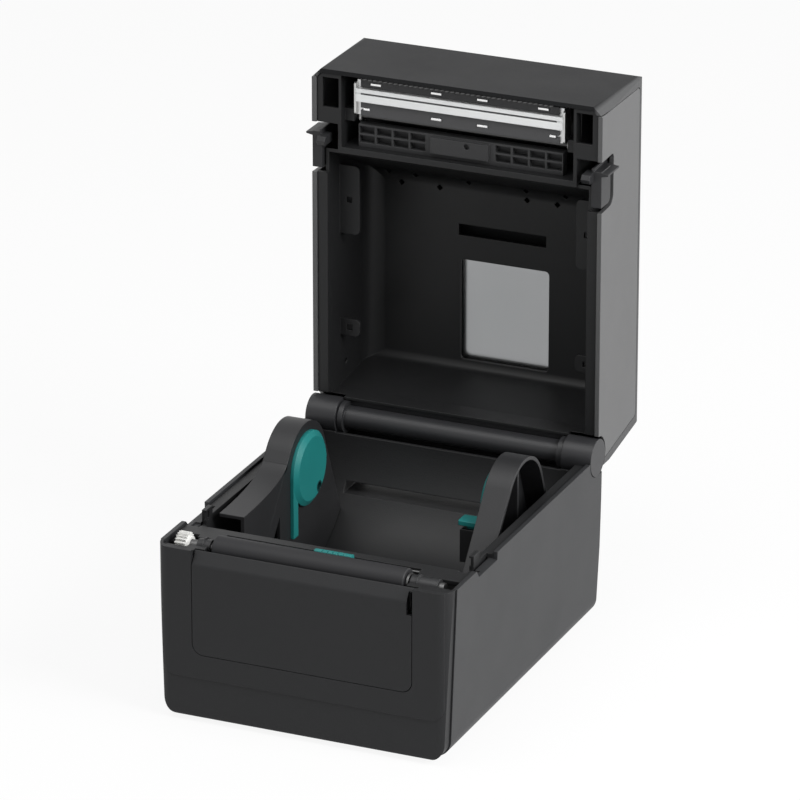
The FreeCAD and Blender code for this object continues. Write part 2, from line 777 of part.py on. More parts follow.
def make_media_bay():
    inset = case_wall + fit_gap
    deck = base_block(inset).common(box(-half_width, half_width, 0, base_depth, deck_bottom, deck_top))
    trough = bay_prism(bay_wall, deck_top, bay_half + bay_wall)
    pan_out = roller_radius + pan_gap + pan_wall
    bush_room = bush_radius + bush_flange + fit_gap
    pan = rod_x(pan_out, plate_left + bearing_plate, plate_right, platen_depth, platen_z)
    pan = pan.cut(box(-half_width, half_width, 0, base_depth, platen_z + 1, rim_height + pan_out))
    plates = []
    for x in (plate_left, plate_right):
        plates.append(box(x, x + bearing_plate, platen_depth - pan_out, platen_depth + pan_out,
                          platen_z - pan_out, deck_top))
    gutter = base_block(inset).common(box(-half_width, half_width, scoop_rear, base_depth,
                                          gutter_z - bay_wall, gutter_z))
    keeper = box(lever_inner - keeper_width, lever_inner - slide_gap, keeper_y, keeper_y + keeper_depth,
                 deck_bottom, rim_height + keeper_rise)
    posts = []
    for x in (-tray_half_length, tray_half_length - tray_post):
        for y in (roll_depth - tray_half_depth, roll_depth + tray_half_depth - tray_post):
            posts.append(box(x, x + tray_post, y, y + tray_post, tray_top, roll_z - bay_radius + bay_wall))
    duct_half = fanfold_half + fanfold_wall
    duct = box(-duct_half, duct_half, roll_depth, rear_face(fanfold_z) - inset,
               fanfold_z - fanfold_wall, fanfold_z + fanfold_height + fanfold_wall)
    body = joined([deck, trough, pan, gutter, duct] + plates + both_sides(keeper) + posts)
    keeper_hole = box(lever_inner - 0.75 * keeper_width, lever_inner - 0.25 * keeper_width,
                      keeper_y - 1, keeper_y + keeper_depth / 2, deck_top - 1, rim_height + keeper_rise - 1)
    window = rim_height + keeper_rise + 1
    leaf_end = leaf_half + slide_gap
    sensor_room = sensor_depth / 2 + slide_gap
    lug_half = knuckle_lug / 2 + fit_gap
    knuckle = joined([rod_x(knuckle_radius + fit_gap, knuckle_inner - fit_gap, half_width, hinge_y, hinge_z),
                      box(knuckle_inner - fit_gap, half_width, hinge_y - lug_half, hinge_y + lug_half,
                          gutter_z, hinge_z)])
    cuts = [bay_prism(0, window, bay_half),
            box(-fanfold_half, fanfold_half, roll_depth, base_depth, fanfold_z, fanfold_z + fanfold_height),
            rod_x(roller_radius + pan_gap, plate_left + bearing_plate, plate_right, platen_depth, platen_z),
            box(plate_left + bearing_plate, plate_right, 0, platen_depth + pan_out - pan_wall,
                platen_z + 1, window),
            box(-door_width / 2 - 1, door_width / 2 + 1, 0, lip_lean + door_thick, deck_bottom - 1, window),
            rod_x(bush_radius, plate_left - 1, plate_right + bearing_plate + 1, platen_depth, platen_z),
            box(plate_left - 1, plate_right + bearing_plate + 1, platen_depth - bush_radius,
                platen_depth + bush_radius, platen_z, window),
            box(-half_width, plate_left, platen_depth - bush_room, platen_depth + bush_room,
                deck_bottom - 1, window),
            box(plate_right + bearing_plate, half_width, platen_depth - bush_room, platen_depth + bush_room,
                deck_bottom - 1, window),
            box(-half_width, gear_right + 1, platen_depth - gear_room, platen_depth + gear_room,
                deck_bottom - 1, window),
            box(-leaf_end, leaf_end, scoop_rear + bay_wall, base_depth, gutter_z, window),
            box(-leaf_end, leaf_end, scoop_rear - 1, scoop_rear + bay_wall + 1,
                rim_height - ridge_drop, window),
            box(-half_width, half_width, hinge_y + knuckle_radius / 2, base_depth, gutter_z, window),
            box(-sensor_channel_half, sensor_channel_half, sensor_channel_inset - sensor_room,
                sensor_channel_inset + sensor_room, deck_top - sensor_channel_drop, window),
            neck_slot(-1), neck_slot(1)]
    return body.cut(cuts + both_sides(hook_room()) + both_sides(keeper_hole) + both_sides(knuckle))


# Platen and drive

def axis_from(y, z, distance, direction):
    angle = math.radians(direction)
    return y + distance * math.cos(angle), z + distance * math.sin(angle)


idler_y, idler_z = axis_from(platen_depth, platen_z, gear_module * (platen_teeth + idler_teeth) / 2,
                             idler_direction)
motor_y, motor_z = axis_from(idler_y, idler_z, gear_module * (idler_teeth + motor_teeth) / 2, motor_direction)


def meshed(phase, teeth, direction, other_teeth):
    """Phase of a gear that meshes with one of known phase, seen in a direction from it."""
    gap = direction + math.pi - (phase - direction) * teeth / other_teeth
    return gap + math.pi / other_teeth


platen_phase = math.radians(idler_direction)
idler_phase = meshed(platen_phase, platen_teeth, math.radians(idler_direction), idler_teeth)
motor_phase = meshed(idler_phase, idler_teeth, math.radians(motor_direction), motor_teeth)


def make_platen_shaft():
    right = plate_right + bush_length_right + bearing_plate
    shaft = rod_x(shaft_radius, gear_left - 1, right, platen_depth, platen_z)
    groove = rod_x(shaft_radius + 1, clip_x, clip_x + clip_thick, platen_depth, platen_z)
    groove = groove.cut(rod_x(shaft_radius - clip_grip, -half_width, half_width, platen_depth, platen_z))
    return shaft.cut(groove)


def make_platen_roller():
    sleeve = rod_x(roller_radius, roller_left, roller_right, platen_depth, platen_z)
    rims = [edge for edge in sleeve.Edges if edge.Curve.TypeId == "Part::GeomCircle"]
    sleeve = sleeve.makeChamfer(roller_bevel, rims)
    return sleeve.cut(rod_x(shaft_radius, -half_width, half_width, platen_depth, platen_z))


def make_platen_gear():
    wheel = gear(platen_teeth, gear_module, gear_left, gear_right - 1.5, platen_depth, platen_z, platen_phase)
    hub = rod_x(shaft_radius + 1.5, gear_right - 1.6, gear_right, platen_depth, platen_z)
    return joined([wheel, hub]).cut(rod_x(shaft_radius, -half_width, half_width, platen_depth, platen_z))


def make_platen_clip():
    end = clip_x + clip_thick
    ring = rod_x(clip_radius, clip_x, end, platen_depth, platen_z)
    bore = rod_x(shaft_radius - clip_grip, clip_x - 1, end + 1, platen_depth, platen_z)
    half = clip_radius / 3
    mouth = box(clip_x - 1, end + 1, platen_depth - half, platen_depth + half,
                platen_z - clip_radius - 1, platen_z)
    return ring.cut([bore, mouth])


def make_bush(x0, x1, flange_at):
    bush = rod_x(bush_radius, x0, x1, platen_depth, platen_z)
    flange = rod_x(bush_radius + bush_flange, flange_at, flange_at + 1, platen_depth, platen_z)
    bore = rod_x(shaft_radius + bore_gap, -half_width, half_width, platen_depth, platen_z)
    return joined([bush, flange]).cut(bore)


def make_motor_bracket():
    size = bracket_margin
    outline = [(idler_y - size, idler_z + size), (idler_y - size, idler_z - size),
               (motor_y - motor_radius / 2, motor_z - motor_ear_reach - size / 2),
               (motor_y + size, motor_z - motor_ear_reach - size / 2), (motor_y + size, motor_z + size),
               (sensor_channel_inset + size, deck_bottom), (sensor_channel_inset - size / 2, deck_bottom)]
    plate = prism("yz", outline, [2, 2, 2, 2, 2, 0, 0], bracket_x, bracket_x + bracket_thick)
    flange = box(bracket_x, bracket_x + bracket_flange, sensor_channel_inset - size / 2,
                 sensor_channel_inset + size, deck_bottom - bracket_thick, deck_bottom)
    flange = flange.common(box(-half_width, plate_left - fit_gap, 0, base_depth, 0, rim_height))
    holes = [rod_x(motor_boss_radius, -half_width, half_width, motor_y, motor_z),
             rod_x(stud_radius, -half_width, half_width, idler_y, idler_z)]
    return joined([plate, flange]).cut(holes)


def make_drive_motor():
    x = bracket_x + bracket_thick
    can = rod_x(motor_radius, x, x + motor_length, motor_y, motor_z)
    ears = box(x, x + motor_flange, motor_y - motor_ear, motor_y + motor_ear,
               motor_z - motor_ear_reach, motor_z)
    boss = rod_x(motor_boss_radius, bracket_x, x, motor_y, motor_z)
    bore = rod_x(motor_shaft_radius + bore_gap, bracket_x - 1, x + motor_length / 2, motor_y, motor_z)
    return joined([can, ears, boss]).cut(bore)


def make_motor_pinion():
    wheel = gear(motor_teeth, gear_module, gear_left, gear_right, motor_y, motor_z, motor_phase)
    x = bracket_x + bracket_thick + motor_length / 2 - 1
    return joined([wheel, rod_x(motor_shaft_radius, gear_left, x, motor_y, motor_z)])


def make_idler_stud():
    stem = rod_x(stud_radius, gear_left - slide_gap, bracket_x + bracket_thick, idler_y, idler_z)
    head = rod_x(stud_radius + 1.5, gear_left - slide_gap - 1, gear_left - slide_gap, idler_y, idler_z)
    return joined([head, stem])


def make_idler_gear():
    wheel = gear(idler_teeth, gear_module, gear_left, gear_right, idler_y, idler_z, idler_phase)
    hollow = rod_x(gear_module * idler_teeth / 2 - 3, gear_left - 1, gear_left + 2, idler_y, idler_z)
    hollow = hollow.cut(rod_x(stud_radius + 3, gear_left - 1, gear_left + 2, idler_y, idler_z))
    return wheel.cut([hollow, rod_x(stud_radius + bore_gap, -half_width, 0, idler_y, idler_z)])


# Media sensor

def make_sensor_rail():
    z = deck_top - sensor_channel_drop + rail_radius
    return rod_x(rail_radius, -sensor_channel_half, sensor_channel_half, sensor_channel_inset, z)


def make_media_sensor():
    low = deck_top - sensor_channel_drop + fit_gap
    y0 = sensor_channel_inset - sensor_depth / 2
    section = [(y0, low), (y0 + sensor_depth, low), (y0 + sensor_depth, low + sensor_height * 0.75),
               (y0 + sensor_depth / 2, low + sensor_height), (y0, low + sensor_height)]
    half = sensor_width / 2
    slider = prism("yz", section, [0, 0, 0.4, 0.4, 0.8], sensor_offset - half, sensor_offset + half)
    z = deck_top - sensor_channel_drop + rail_radius
    bore = rod_x(rail_radius + bore_gap, -half_width, half_width, sensor_channel_inset, z)
    slot = box(-half_width, half_width, sensor_channel_inset - rail_radius - bore_gap,
               sensor_channel_inset + rail_radius + bore_gap, 0, z)
    grip = [box(sensor_offset + i * 3 - 0.4, sensor_offset + i * 3 + 0.4, y0 - 1, y0 + sensor_depth + 1,
                low + sensor_height - 0.5, low + sensor_height + 1) for i in range(-2, 3)]
    return slider.cut([bore, slot] + grip)


# Roll guides

def guide_outline():
    """Side view of a roll guide: arched top, sloping front and rear, foot along the scoop."""
    front = math.radians(guide_front_slope)
    rear = math.radians(guide_rear_slope)
    depth = 2 * bay_radius
    front_start = Vector(0, roll_depth - guide_arch * math.sin(front), roll_z + guide_arch * math.cos(front))
    front_end = front_start - Vector(0, depth / math.tan(front), depth)
    rear_start = Vector(0, roll_depth + guide_arch * math.sin(rear), roll_z + guide_arch * math.cos(rear))
    rear_end = rear_start + Vector(0, depth / math.tan(rear), -depth)
    top = Vector(0, roll_depth, roll_z + guide_arch)
    above = Part.Face(Part.Wire([Part.Arc(rear_start, top, front_start).toShape(),
                                 Part.LineSegment(front_start, front_end).toShape(),
                                 Part.LineSegment(front_end, rear_end).toShape(),
                                 Part.LineSegment(rear_end, rear_start).toShape()]))
    return above.common(bay_section(-guide_clearance, top.z + 1)).Faces[0].OuterWire


def guide_prism(shrink, x0, x1):
    wire = guide_outline()
    if shrink:
        wire = wire.makeOffset2D(-shrink)
    face = Part.Face(wire)
    face.translate(Vector(x0, 0, 0))
    return face.extrude(Vector(x1 - x0, 0, 0))


def make_roll_guide():
    """Right guide: a plate with a deep rim, open towards the case's side."""
    body = guide_prism(0, guide_inner, guide_outer)
    hollow = guide_prism(guide_wall, guide_inner + guide_wall, guide_outer + 1)
    arch = rod_x(hub_radius + 2, 0, half_width, roll_depth, roll_z)
    foot = box(0, half_width, roll_depth - hub_radius - 1.5 * lock_depth, base_depth, 0, rim_height)
    window = guide_prism(window_wall, 0, half_width).cut([arch, foot])
    rib = box(guide_inner + guide_wall / 2, guide_outer - 4, roll_depth - 1, roll_depth + 1,
              roll_z - bay_radius + 2, roll_z + guide_arch - 1)
    body = body.cut([hollow, window])
    return joined([body, rib.common(guide_prism(guide_wall / 2, 0, half_width))])


def make_hub():
    """Right hub: bevelled disc that the roll's core turns on, with a tail down the guide's face."""
    base = guide_inner
    disc = rod_x(hub_radius, base - tail_thick, base, roll_depth, roll_z)
    dome = Part.makeCone(hub_radius - hub_bevel, hub_radius, hub_thick - tail_thick,
                         Vector(hub_face, roll_depth, roll_z), Vector(1, 0, 0))
    y0 = roll_depth - hub_radius
    tail = box(base - tail_thick, base, y0, y0 + tail_width, roll_z - tail_length, roll_z)
    angle = math.radians(hub_hole_direction)
    hole_y = roll_depth + hub_hole_reach * math.cos(angle)
    hole_z = roll_z + hub_hole_reach * math.sin(angle)
    hole = rod_x(hub_hole_radius, 0, base + 1, hole_y, hole_z)
    return joined([disc, dome, tail]).cut(hole)


def make_rack(side):
    """Rack under the scoop with the neck that joins it to its guide; side is -1 left, 1 right."""
    module = rack_module()
    pitch = math.pi * module
    slack = 0.1
    low = tray_top + fit_gap
    line = roll_depth - side * rack_pitch_radius
    out = -side
    first = -math.ceil((guide_travel_in + 3) / pitch)
    last = math.ceil((guide_travel_out + 4) / pitch)
    teeth = range(first, last + 1)
    top = 0.85 * module
    bottom = 1.2 * module
    lean = math.tan(math.radians(20))
    points = []
    for i in teeth:
        middle = i * pitch
        for offset, level in ((-1, bottom), (-1, -top), (1, -top), (1, bottom)):
            half = pitch / 4 - slack + level * lean
            points.append((middle + offset * half, level))
    x_end = guide_outer - 2
    back = bottom + rack_back
    far = points[-1][0] + 1
    points = [(-x_end, bottom)] + points + [(far, bottom), (far, back), (-x_end, back)]
    placed = [(-side * x, line + out * level) for x, level in points]
    bar = prism("xy", placed, 0, low, low + rack_height)
    y = roll_depth - rack_side(side)
    x1 = guide_outer - (guide_thick - neck_length) / 2
    neck = box(x1 - neck_length, x1, y - neck_width / 2, y + neck_width / 2, low,
               roll_z - bay_radius + neck_rise)
    if side < 0:
        neck = mirrored(neck)
    solid = joined([bar, neck])
    guide = guide_prism(0, -half_width, half_width)
    return solid.cut(guide)


def make_rack_pinion():
    module = rack_module()
    low = tray_top + fit_gap
    wheel = gear(rack_teeth, module, 0, rack_height, 0, 0, math.pi / 2 + math.pi / rack_teeth)
    wheel.rotate(Vector(0, 0, 0), Vector(0, 1, 0), -90)
    wheel.rotate(Vector(0, 0, 0), Vector(0, 0, 1), 90)
    wheel.translate(Vector(0, roll_depth, low))
    return wheel.cut(rod_z(pinion_bore + bore_gap, 0, roll_depth, low - 1, low + rack_height + 1))


def make_rack_tray():
    low = tray_top - tray_thick
    plate = box(-tray_half_length, tray_half_length, roll_depth - tray_half_depth,
                roll_depth + tray_half_depth, low, tray_top)
    stud = rod_z(pinion_bore, 0, roll_depth, low, tray_top + rack_height + fit_gap + 1)
    return joined([plate, stud])


def lock_box():
    """Corner places of the lock's housing beside the right guide's tail."""
    x1 = guide_inner
    y0 = roll_depth - hub_radius - lock_depth - fit_gap
    z1 = rim_height - lock_drop - lock_tab_thick - lock_travel - fit_gap
    return x1 - lock_length, x1, y0, y0 + lock_depth, z1 - lock_height, z1


def make_lock_housing():
    x0, x1, y0, y1, z0, z1 = lock_box()
    block = prism("xz", rectangle(x0, x1, z0, z1), [0, 0, 0, 1.0], y0, y1)
    middle_x = (x0 + x1) / 2
    middle_y = (y0 + y1) / 2
    half = lock_stem / 2 + slide_gap / 2
    well = box(middle_x - half, middle_x + half, middle_y - half, middle_y + half,
               z1 - lock_stem_reach - lock_travel, z1 + 1)
    return block.cut(well)


def make_guide_lock():
    x0, x1, y0, y1, z0, z1 = lock_box()
    low = z1 + lock_travel + fit_gap
    tab = prism("xy", rectangle(x0 - 1, x1 - fit_gap, y0 - 0.5, y1), 1.0, low, low + lock_tab_thick)
    middle_x = (x0 + x1) / 2
    middle_y = (y0 + y1) / 2
    half = lock_stem / 2
    stem = box(middle_x - half, middle_x + half, middle_y - half, middle_y + half,
               z1 - lock_stem_reach + lock_travel, low + 0.5)
    return joined([tab, stem])


# Electronics

def board_posts():
    half = board_width / 2 - 5
    rear = floor_outline(0)[2][1] - 3 * post_half
    front = rear - board_depth + 6 * post_half
    return [(-half, front), (half, front), (-half, rear), (half, rear)]


def make_main_board():
    rear = rear_face(board_height) - case_wall - board_rear_gap
    plate = box(-board_width / 2, board_width / 2, rear - board_depth, rear,
                board_height, board_height + board_thick)
    top = board_height + board_thick
    front = rear - board_depth
    chips = [box(x, x + chip_size, front + chip_size, front + 2 * chip_size, top, top + chip_height)
             for x in (-board_width / 4, board_width / 8)]
    return joined([plate] + chips)


def make_socket(middle, width, height, depth, hollow):
    """Metal or plastic socket on the board, its mouth in the rear wall."""
    low = board_height + board_thick
    rear = rear_face(low) + socket_proud
    shell = box(middle - width / 2, middle + width / 2, rear - depth, rear, low, low + height)
    return shell.cut(hollow(middle, width, low, height, rear))


def data_hollow(middle, width, low, height, rear):
    half = width / 2 - data_wall
    mouth = box(middle - half, middle + half, rear - mouth_depth, rear + 1,
                low + data_wall, low + height - data_wall)
    rise = low + height / 2
    tongue = box(middle - data_tongue / 2, middle + data_tongue / 2, rear - mouth_depth - 1, rear - data_wall,
                 rise - data_tongue / 4, rise + data_tongue / 4)
    return mouth.cut(tongue)


def network_hollow(middle, width, low, height, rear):
    side = (width - network_mouth) / 2
    mouth = box(middle - network_mouth / 2, middle + network_mouth / 2, rear - mouth_depth, rear + 1,
                low + network_sill, low + height - side)
    key = box(middle - network_key / 2, middle + network_key / 2, rear - mouth_depth, rear + 1,
              low + network_sill / 3, low + network_sill + 1)
    return mouth.fuse(key)


def power_hollow(middle, width, low, height, rear):
    ring = rod_y(inlet_mouth, middle, rear - mouth_depth, rear + 1, low + height / 2)
    return ring.cut(rod_y(inlet_pin, middle, rear - mouth_depth - 1, rear - 1, low + height / 2))


def make_power_switch():
    rear = rear_face(switch_z) + switch_flange
    frame = box(switch_x - switch_width / 2, switch_x + switch_width / 2, rear - switch_depth, rear - 0.1,
                switch_z - switch_height / 2, switch_z + switch_height / 2)
    half_x = switch_width / 2 + switch_flange
    half_z = switch_height / 2 + switch_flange
    outline = rectangle(switch_x - half_x, switch_x + half_x, switch_z - half_z, switch_z + half_z)
    flange = prism("xz", outline, switch_wall / 2, rear_face(switch_z + half_z), rear)
    half_x = switch_width / 2 - switch_wall
    half_z = switch_height / 2 - switch_wall
    well = box(switch_x - half_x, switch_x + half_x, rear - switch_well, rear + 1,
               switch_z - half_z, switch_z + half_z)
    y, z = rocker_axis()
    end = half_x + switch_wall / 2
    bore = rod_x(rocker_pin + bore_gap, switch_x - end, switch_x + end, y, z)
    return joined([frame, flange]).cut([well, bore])


def rocker_axis():
    return rear_face(switch_z) + switch_flange - rocker_sink, switch_z


def make_power_rocker():
    y, z = rocker_axis()
    half = switch_height / 2 - switch_wall - slide_gap - 0.2
    width = switch_width / 2 - switch_wall - slide_gap / 2
    crown = y + rocker_rise
    back = y - rocker_rise / 3
    end = crown - 1
    outline = [(back, z - half / 2), (end, z - half), (crown, z), (end, z + half), (back, z + half / 2)]
    body = prism("yz", outline, 0, switch_x - width, switch_x + width)
    body.rotate(Vector(switch_x, y, z), Vector(1, 0, 0), rocker_angle)
    pin_end = width + rocker_pin
    return joined([body, rod_x(rocker_pin, switch_x - pin_end, switch_x + pin_end, y, z)])


# Hinge

def make_hinge_knuckle():
    """Right knuckle, flush with the side, standing in the gutter."""
    barrel = rod_x(knuckle_radius, knuckle_inner, half_width, hinge_y, hinge_z)
    lug = box(knuckle_inner, base_edge(case_wall + fit_gap, gutter_z), hinge_y - knuckle_lug / 2,
              hinge_y + knuckle_lug / 2, gutter_z, hinge_z)
    bore = rod_x(hinge_pin_radius, 0, half_width - case_wall, hinge_y, hinge_z)
    return joined([barrel, lug]).cut(bore)


def make_hinge_pin():
    end = half_width - case_wall
    return rod_x(hinge_pin_radius, -end, end, hinge_y, hinge_z)


def make_hinge_leaf():
    tube = rod_x(leaf_radius, -leaf_half, leaf_half, hinge_y, hinge_z)
    collars = [rod_x(leaf_collar, leaf_half - collar_width, leaf_half, hinge_y, hinge_z)]
    collars.append(mirrored(collars[0]))
    end = leaf_half - collar_width
    web = box(-end, end, hinge_y - cavity_rear + liner_wall, hinge_y,
              rim_height + rim_gap + liner_drop + flange_thick + fit_gap, rim_height + cavity_rear_foot - 1)
    bore = rod_x(hinge_pin_radius + bore_gap, -half_width, half_width, hinge_y, hinge_z)
    return joined([tube] + collars + [web]).cut(bore)


# Lid, drawn shut

def lid_section(inset):
    """Side view of the lid, drawn in by the inset."""
    front = lid_setback + inset
    top = roof_z - inset
    rear = hinge_y + lid_rear_reach - inset
    return [(front, rim_height + rim_gap), (front + lid_front_lean, top),
            (rear - lid_rear_lean, top), (rear, rim_height + lid_rear_foot), (rear, rim_height + rim_gap)]


def lid_block(inset):
    half = half_width - inset
    top_half = half - lid_draft
    roof = max(lid_roof_round - inset, round_least)
    rear = max(lid_rear_round - inset, round_least)
    side = prism("yz", lid_section(inset), [0, roof, rear, lid_foot_round, 0], -half_width, half_width)
    front_view = prism("xz", [(-half, rim_height + rim_gap), (half, rim_height + rim_gap),
                              (top_half, roof_z - inset), (-top_half, roof_z - inset)], [0, 0, roof, roof],
                       0, overall_depth)
    y0 = lid_setback + inset
    y1 = hinge_y + lid_rear_reach - inset
    cut = max(lid_chamfer - inset, round_least)
    plan = prism("xy", [(-half + cut, y0), (half - cut, y0), (half, y0 + cut), (half, y1), (-half, y1),
                        (-half, y0 + cut)], [0, 0, 0, rear_corner / 2, rear_corner / 2, 0], 0, roof_z)
    return side.common(front_view).common(plan)


def knuckle_room():
    """Space that the lid leaves round the hinge."""
    reach_out = knuckle_radius + knuckle_clearance
    return [rod_x(reach_out, knuckle_inner - slide_gap, half_width + 1, hinge_y, hinge_z),
            rod_x(reach_out, -half_width - 1, -knuckle_inner + slide_gap, hinge_y, hinge_z),
            rod_x(leaf_collar + slide_gap, -half_width, half_width, hinge_y, hinge_z)]


def side_panel_prism(gap):
    """Right side panel's outline in side view, with a gap all round but at the rim."""
    front = lid_setback + panel_band - gap
    top = roof_z - panel_band + gap
    rear = hinge_y + lid_rear_reach - panel_band + gap
    points = [(front, rim_height), (front + lid_front_lean, top), (rear - lid_rear_lean, top),
              (rear, rim_height + lid_rear_foot), (rear, rim_height)]
    return prism("yz", points, [0, panel_corner, panel_corner, lid_foot_round, 0],
                 half_width - case_wall - lid_draft - 1, half_width + 1)


def lid_shell():
    return lid_block(0).cut(lid_block(case_wall).fuse(lid_mouth()))


def lid_mouth():
    """Opening of the lid at the rim, as wide as the inside."""
    half = half_width - case_wall
    return box(-half, half, lid_setback + 2 * case_wall, hinge_y, rim_height, rim_height + rim_gap + 1)


def window_box(grow, z0, z1):
    y0 = lid_setback + window_front - grow
    half = window_width / 2 + grow
    y1 = y0 + window_length + 2 * grow
    return prism("xy", rectangle(window_offset - half, window_offset + half, y0, y1),
                 window_corner + grow / 2, z0, z1)


def panel_board_box():
    y = lid_setback + button_depth
    return (lens_x - panel_board_margin, button_x + panel_board_margin, y - panel_board_margin,
            y + panel_board_margin, roof_z - panel_board_drop)


def make_lid_cover():
    shell = lid_shell().cut(both_sides(side_panel_prism(seam_gap)) + knuckle_room())
    x0, x1, y0, y1, z = panel_board_box()
    posts = [box(x, x + panel_post, y, y + panel_post, z + panel_board_thick, roof_z - case_wall / 2)
             for x in (x0, x1 - panel_post) for y in (y0, y1 - panel_post)]
    y = lid_setback + button_depth
    holes = [rod_z(button_radius + fit_gap, button_x, y, roof_z - 2 * case_wall, roof_z + 1),
             rod_z(lens_radius, lens_x, y, roof_z - 2 * case_wall, roof_z + 1),
             window_box(0, roof_z - 2 * case_wall, roof_z + 1)]
    return joined([shell] + posts).cut(holes)


def lever_opening():
    """Opening in the right lid side for the latch lever and a fingertip."""
    front, rear = latch_opening(latch_slot_front, latch_slot_rear, 0)
    top = rim_height + latch_slot_height
    return prism("yz", [(front, rim_height), (front, top), (rear, top), (rear, rim_height)],
                 [0, latch_slot_corner, latch_slot_round, 0], half_width - case_wall - lid_draft - 1,
                 half_width + 1)


def make_lid_side():
    panel = lid_shell().common(side_panel_prism(0))
    return panel.cut(knuckle_room() + [lever_opening()])


def roll_cavity(grow):
    """Space for the roll inside the lid, grown by a wall."""
    low = rim_height - 1
    front = lid_setback + cavity_front - grow
    rear = hinge_y - cavity_rear + grow
    top = rim_height + cavity_roof + grow
    side = prism("yz", [(front, low), (front + cavity_front_lean, top), (rear - cavity_rear_lean, top),
                        (rear, rim_height + cavity_rear_foot), (rear, low)],
                 [0, cavity_round, cavity_rear_round, cavity_rear_round, 0], -half_width, half_width)
    half = cavity_half + grow
    high = half - cavity_draft
    front_view = prism("xz", [(-half, low), (half, low), (high, top), (-high, top)],
                       [0, 0, cavity_round, cavity_round], 0, overall_depth)
    return side.common(front_view)


def head_bay(grow):
    """Space for the print head at the front of the lid, grown by a wall."""
    half = head_bay_half + grow
    return box(-half, half, lid_setback, lid_setback + head_bay_rear + grow, rim_height - 1,
               rim_height + head_bay_roof + grow)


def make_lid_liner():
    inner = lid_block(case_wall + fit_gap).fuse(lid_mouth())
    low = rim_height + rim_gap + liner_drop
    flange = inner.common(box(-half_width, half_width, 0, overall_depth, low, low + flange_thick))
    tubs = roll_cavity(liner_wall).fuse(head_bay(liner_wall))
    tubs = tubs.common(box(-half_width, half_width, 0, overall_depth, low, roof_z))
    tubs = tubs.common(lid_block(case_wall + fit_gap))
    eye = latch_shaft_radius + latch_eye
    lug = box(head_bay_half - liner_wall, head_bay_half + liner_wall, latch_y - eye, latch_y + eye,
              rim_height + head_bay_roof, latch_z + eye)
    block = box(head_length / 2 + bracket_steel + bracket_gap, head_bay_half + 1,
                lid_setback + comb_front - post_block, lid_setback + comb_front - 1,
                rim_height + comb_height, rim_height + head_bay_roof)
    body = joined([flange, tubs] + both_sides(lug) + both_sides(block))
    pocket = box(lever_inner - keeper_width - slide_gap, half_width, lid_setback + latch_slot_front,
                 lid_setback + latch_slot_rear, rim_height, rim_height + keeper_rise + 2 * slide_gap)
    arm_room = box(lever_inner - slide_gap, half_width, lid_setback + latch_slot_front,
                   lid_setback + latch_slot_rear, rim_height, roof_z)
    gear_bay = box(-gear_right - 1, -gear_left + 1, platen_depth - gear_room, platen_depth + gear_room,
                   rim_height, rim_height + gear_room)
    pin_y = platen_depth + head_pivot_rear
    ahead = box(-half_width, half_width, 0, lid_setback + head_bay_rear + liner_wall, 0, roof_z)
    cuts = [roll_cavity(0).cut(ahead),
            head_bay(0).cut(both_sides(block)),
            rod_x(latch_shaft_radius + bore_gap, -half_width, half_width, latch_y, latch_z),
            rod_x(head_pin_radius, -half_width, half_width, pin_y, rim_height + head_pivot_height),
            window_box(-window_rebate, rim_height + cavity_roof - 1, roof_z),
            vent_slot()]
    cuts += both_sides(pocket) + both_sides(arm_room) + both_sides(gear_bay)
    body = body.cut(cuts + clip_holes() + knuckle_room())
    tabs = screw_tabs()
    return joined([body] + tabs + [mirrored(tab) for tab in tabs])


def diamond(a, b):
    return [(a - clip_hole, b), (a, b - clip_hole), (a + clip_hole, b), (a, b + clip_hole)]


def clip_holes():
    """Small square holes, turned on their corners, in the roof and sides of the liner."""
    holes = []
    top = rim_height + cavity_roof
    for depth, places in ((clip_front, clip_front_places), (clip_rear, clip_rear_places)):
        y = lid_setback + depth
        for x in places:
            holes.append(prism("xy", diamond(x, y), 0, top - cavity_round, top + liner_wall + 1))
    side = prism("yz", diamond(hinge_y - clip_side_ahead, rim_height + clip_side_height), 0,
                 cavity_half - cavity_draft - 1, cavity_half + liner_wall + 1)
    return holes + both_sides(side)


def screw_tabs():
    """Tabs on the liner's right side, each with a square hole, facing the base."""
    low = rim_height + tab_height
    inner = cavity_half - tab_width
    rear = roll_depth + tab_behind
    tabs = []
    for y0, y1 in ((lid_setback + tab_front, roll_depth - tab_ahead), (rear, rear + tab_rear_length)):
        plate = prism("xy", rectangle(inner, cavity_half, y0, y1), [tab_corner, 0, 0, tab_corner],
                      low, low + liner_wall)
        x = (inner + cavity_half) / 2
        y = (y0 + y1) / 2
        half = tab_hole / 2
        tabs.append(plate.cut(box(x - half, x + half, y - half, y + half, low - 1, low + liner_wall + 1)))
    return tabs


def vent_slot():
    y0 = lid_setback + vent_front
    return box(vent_offset - vent_width / 2, vent_offset + vent_width / 2, y0, y0 + vent_length,
               rim_height + cavity_roof - 1, rim_height + cavity_roof + liner_wall + 1)


def make_lid_window():
    z = rim_height + cavity_roof + liner_wall
    return window_box(window_margin, z, z + window_thick)


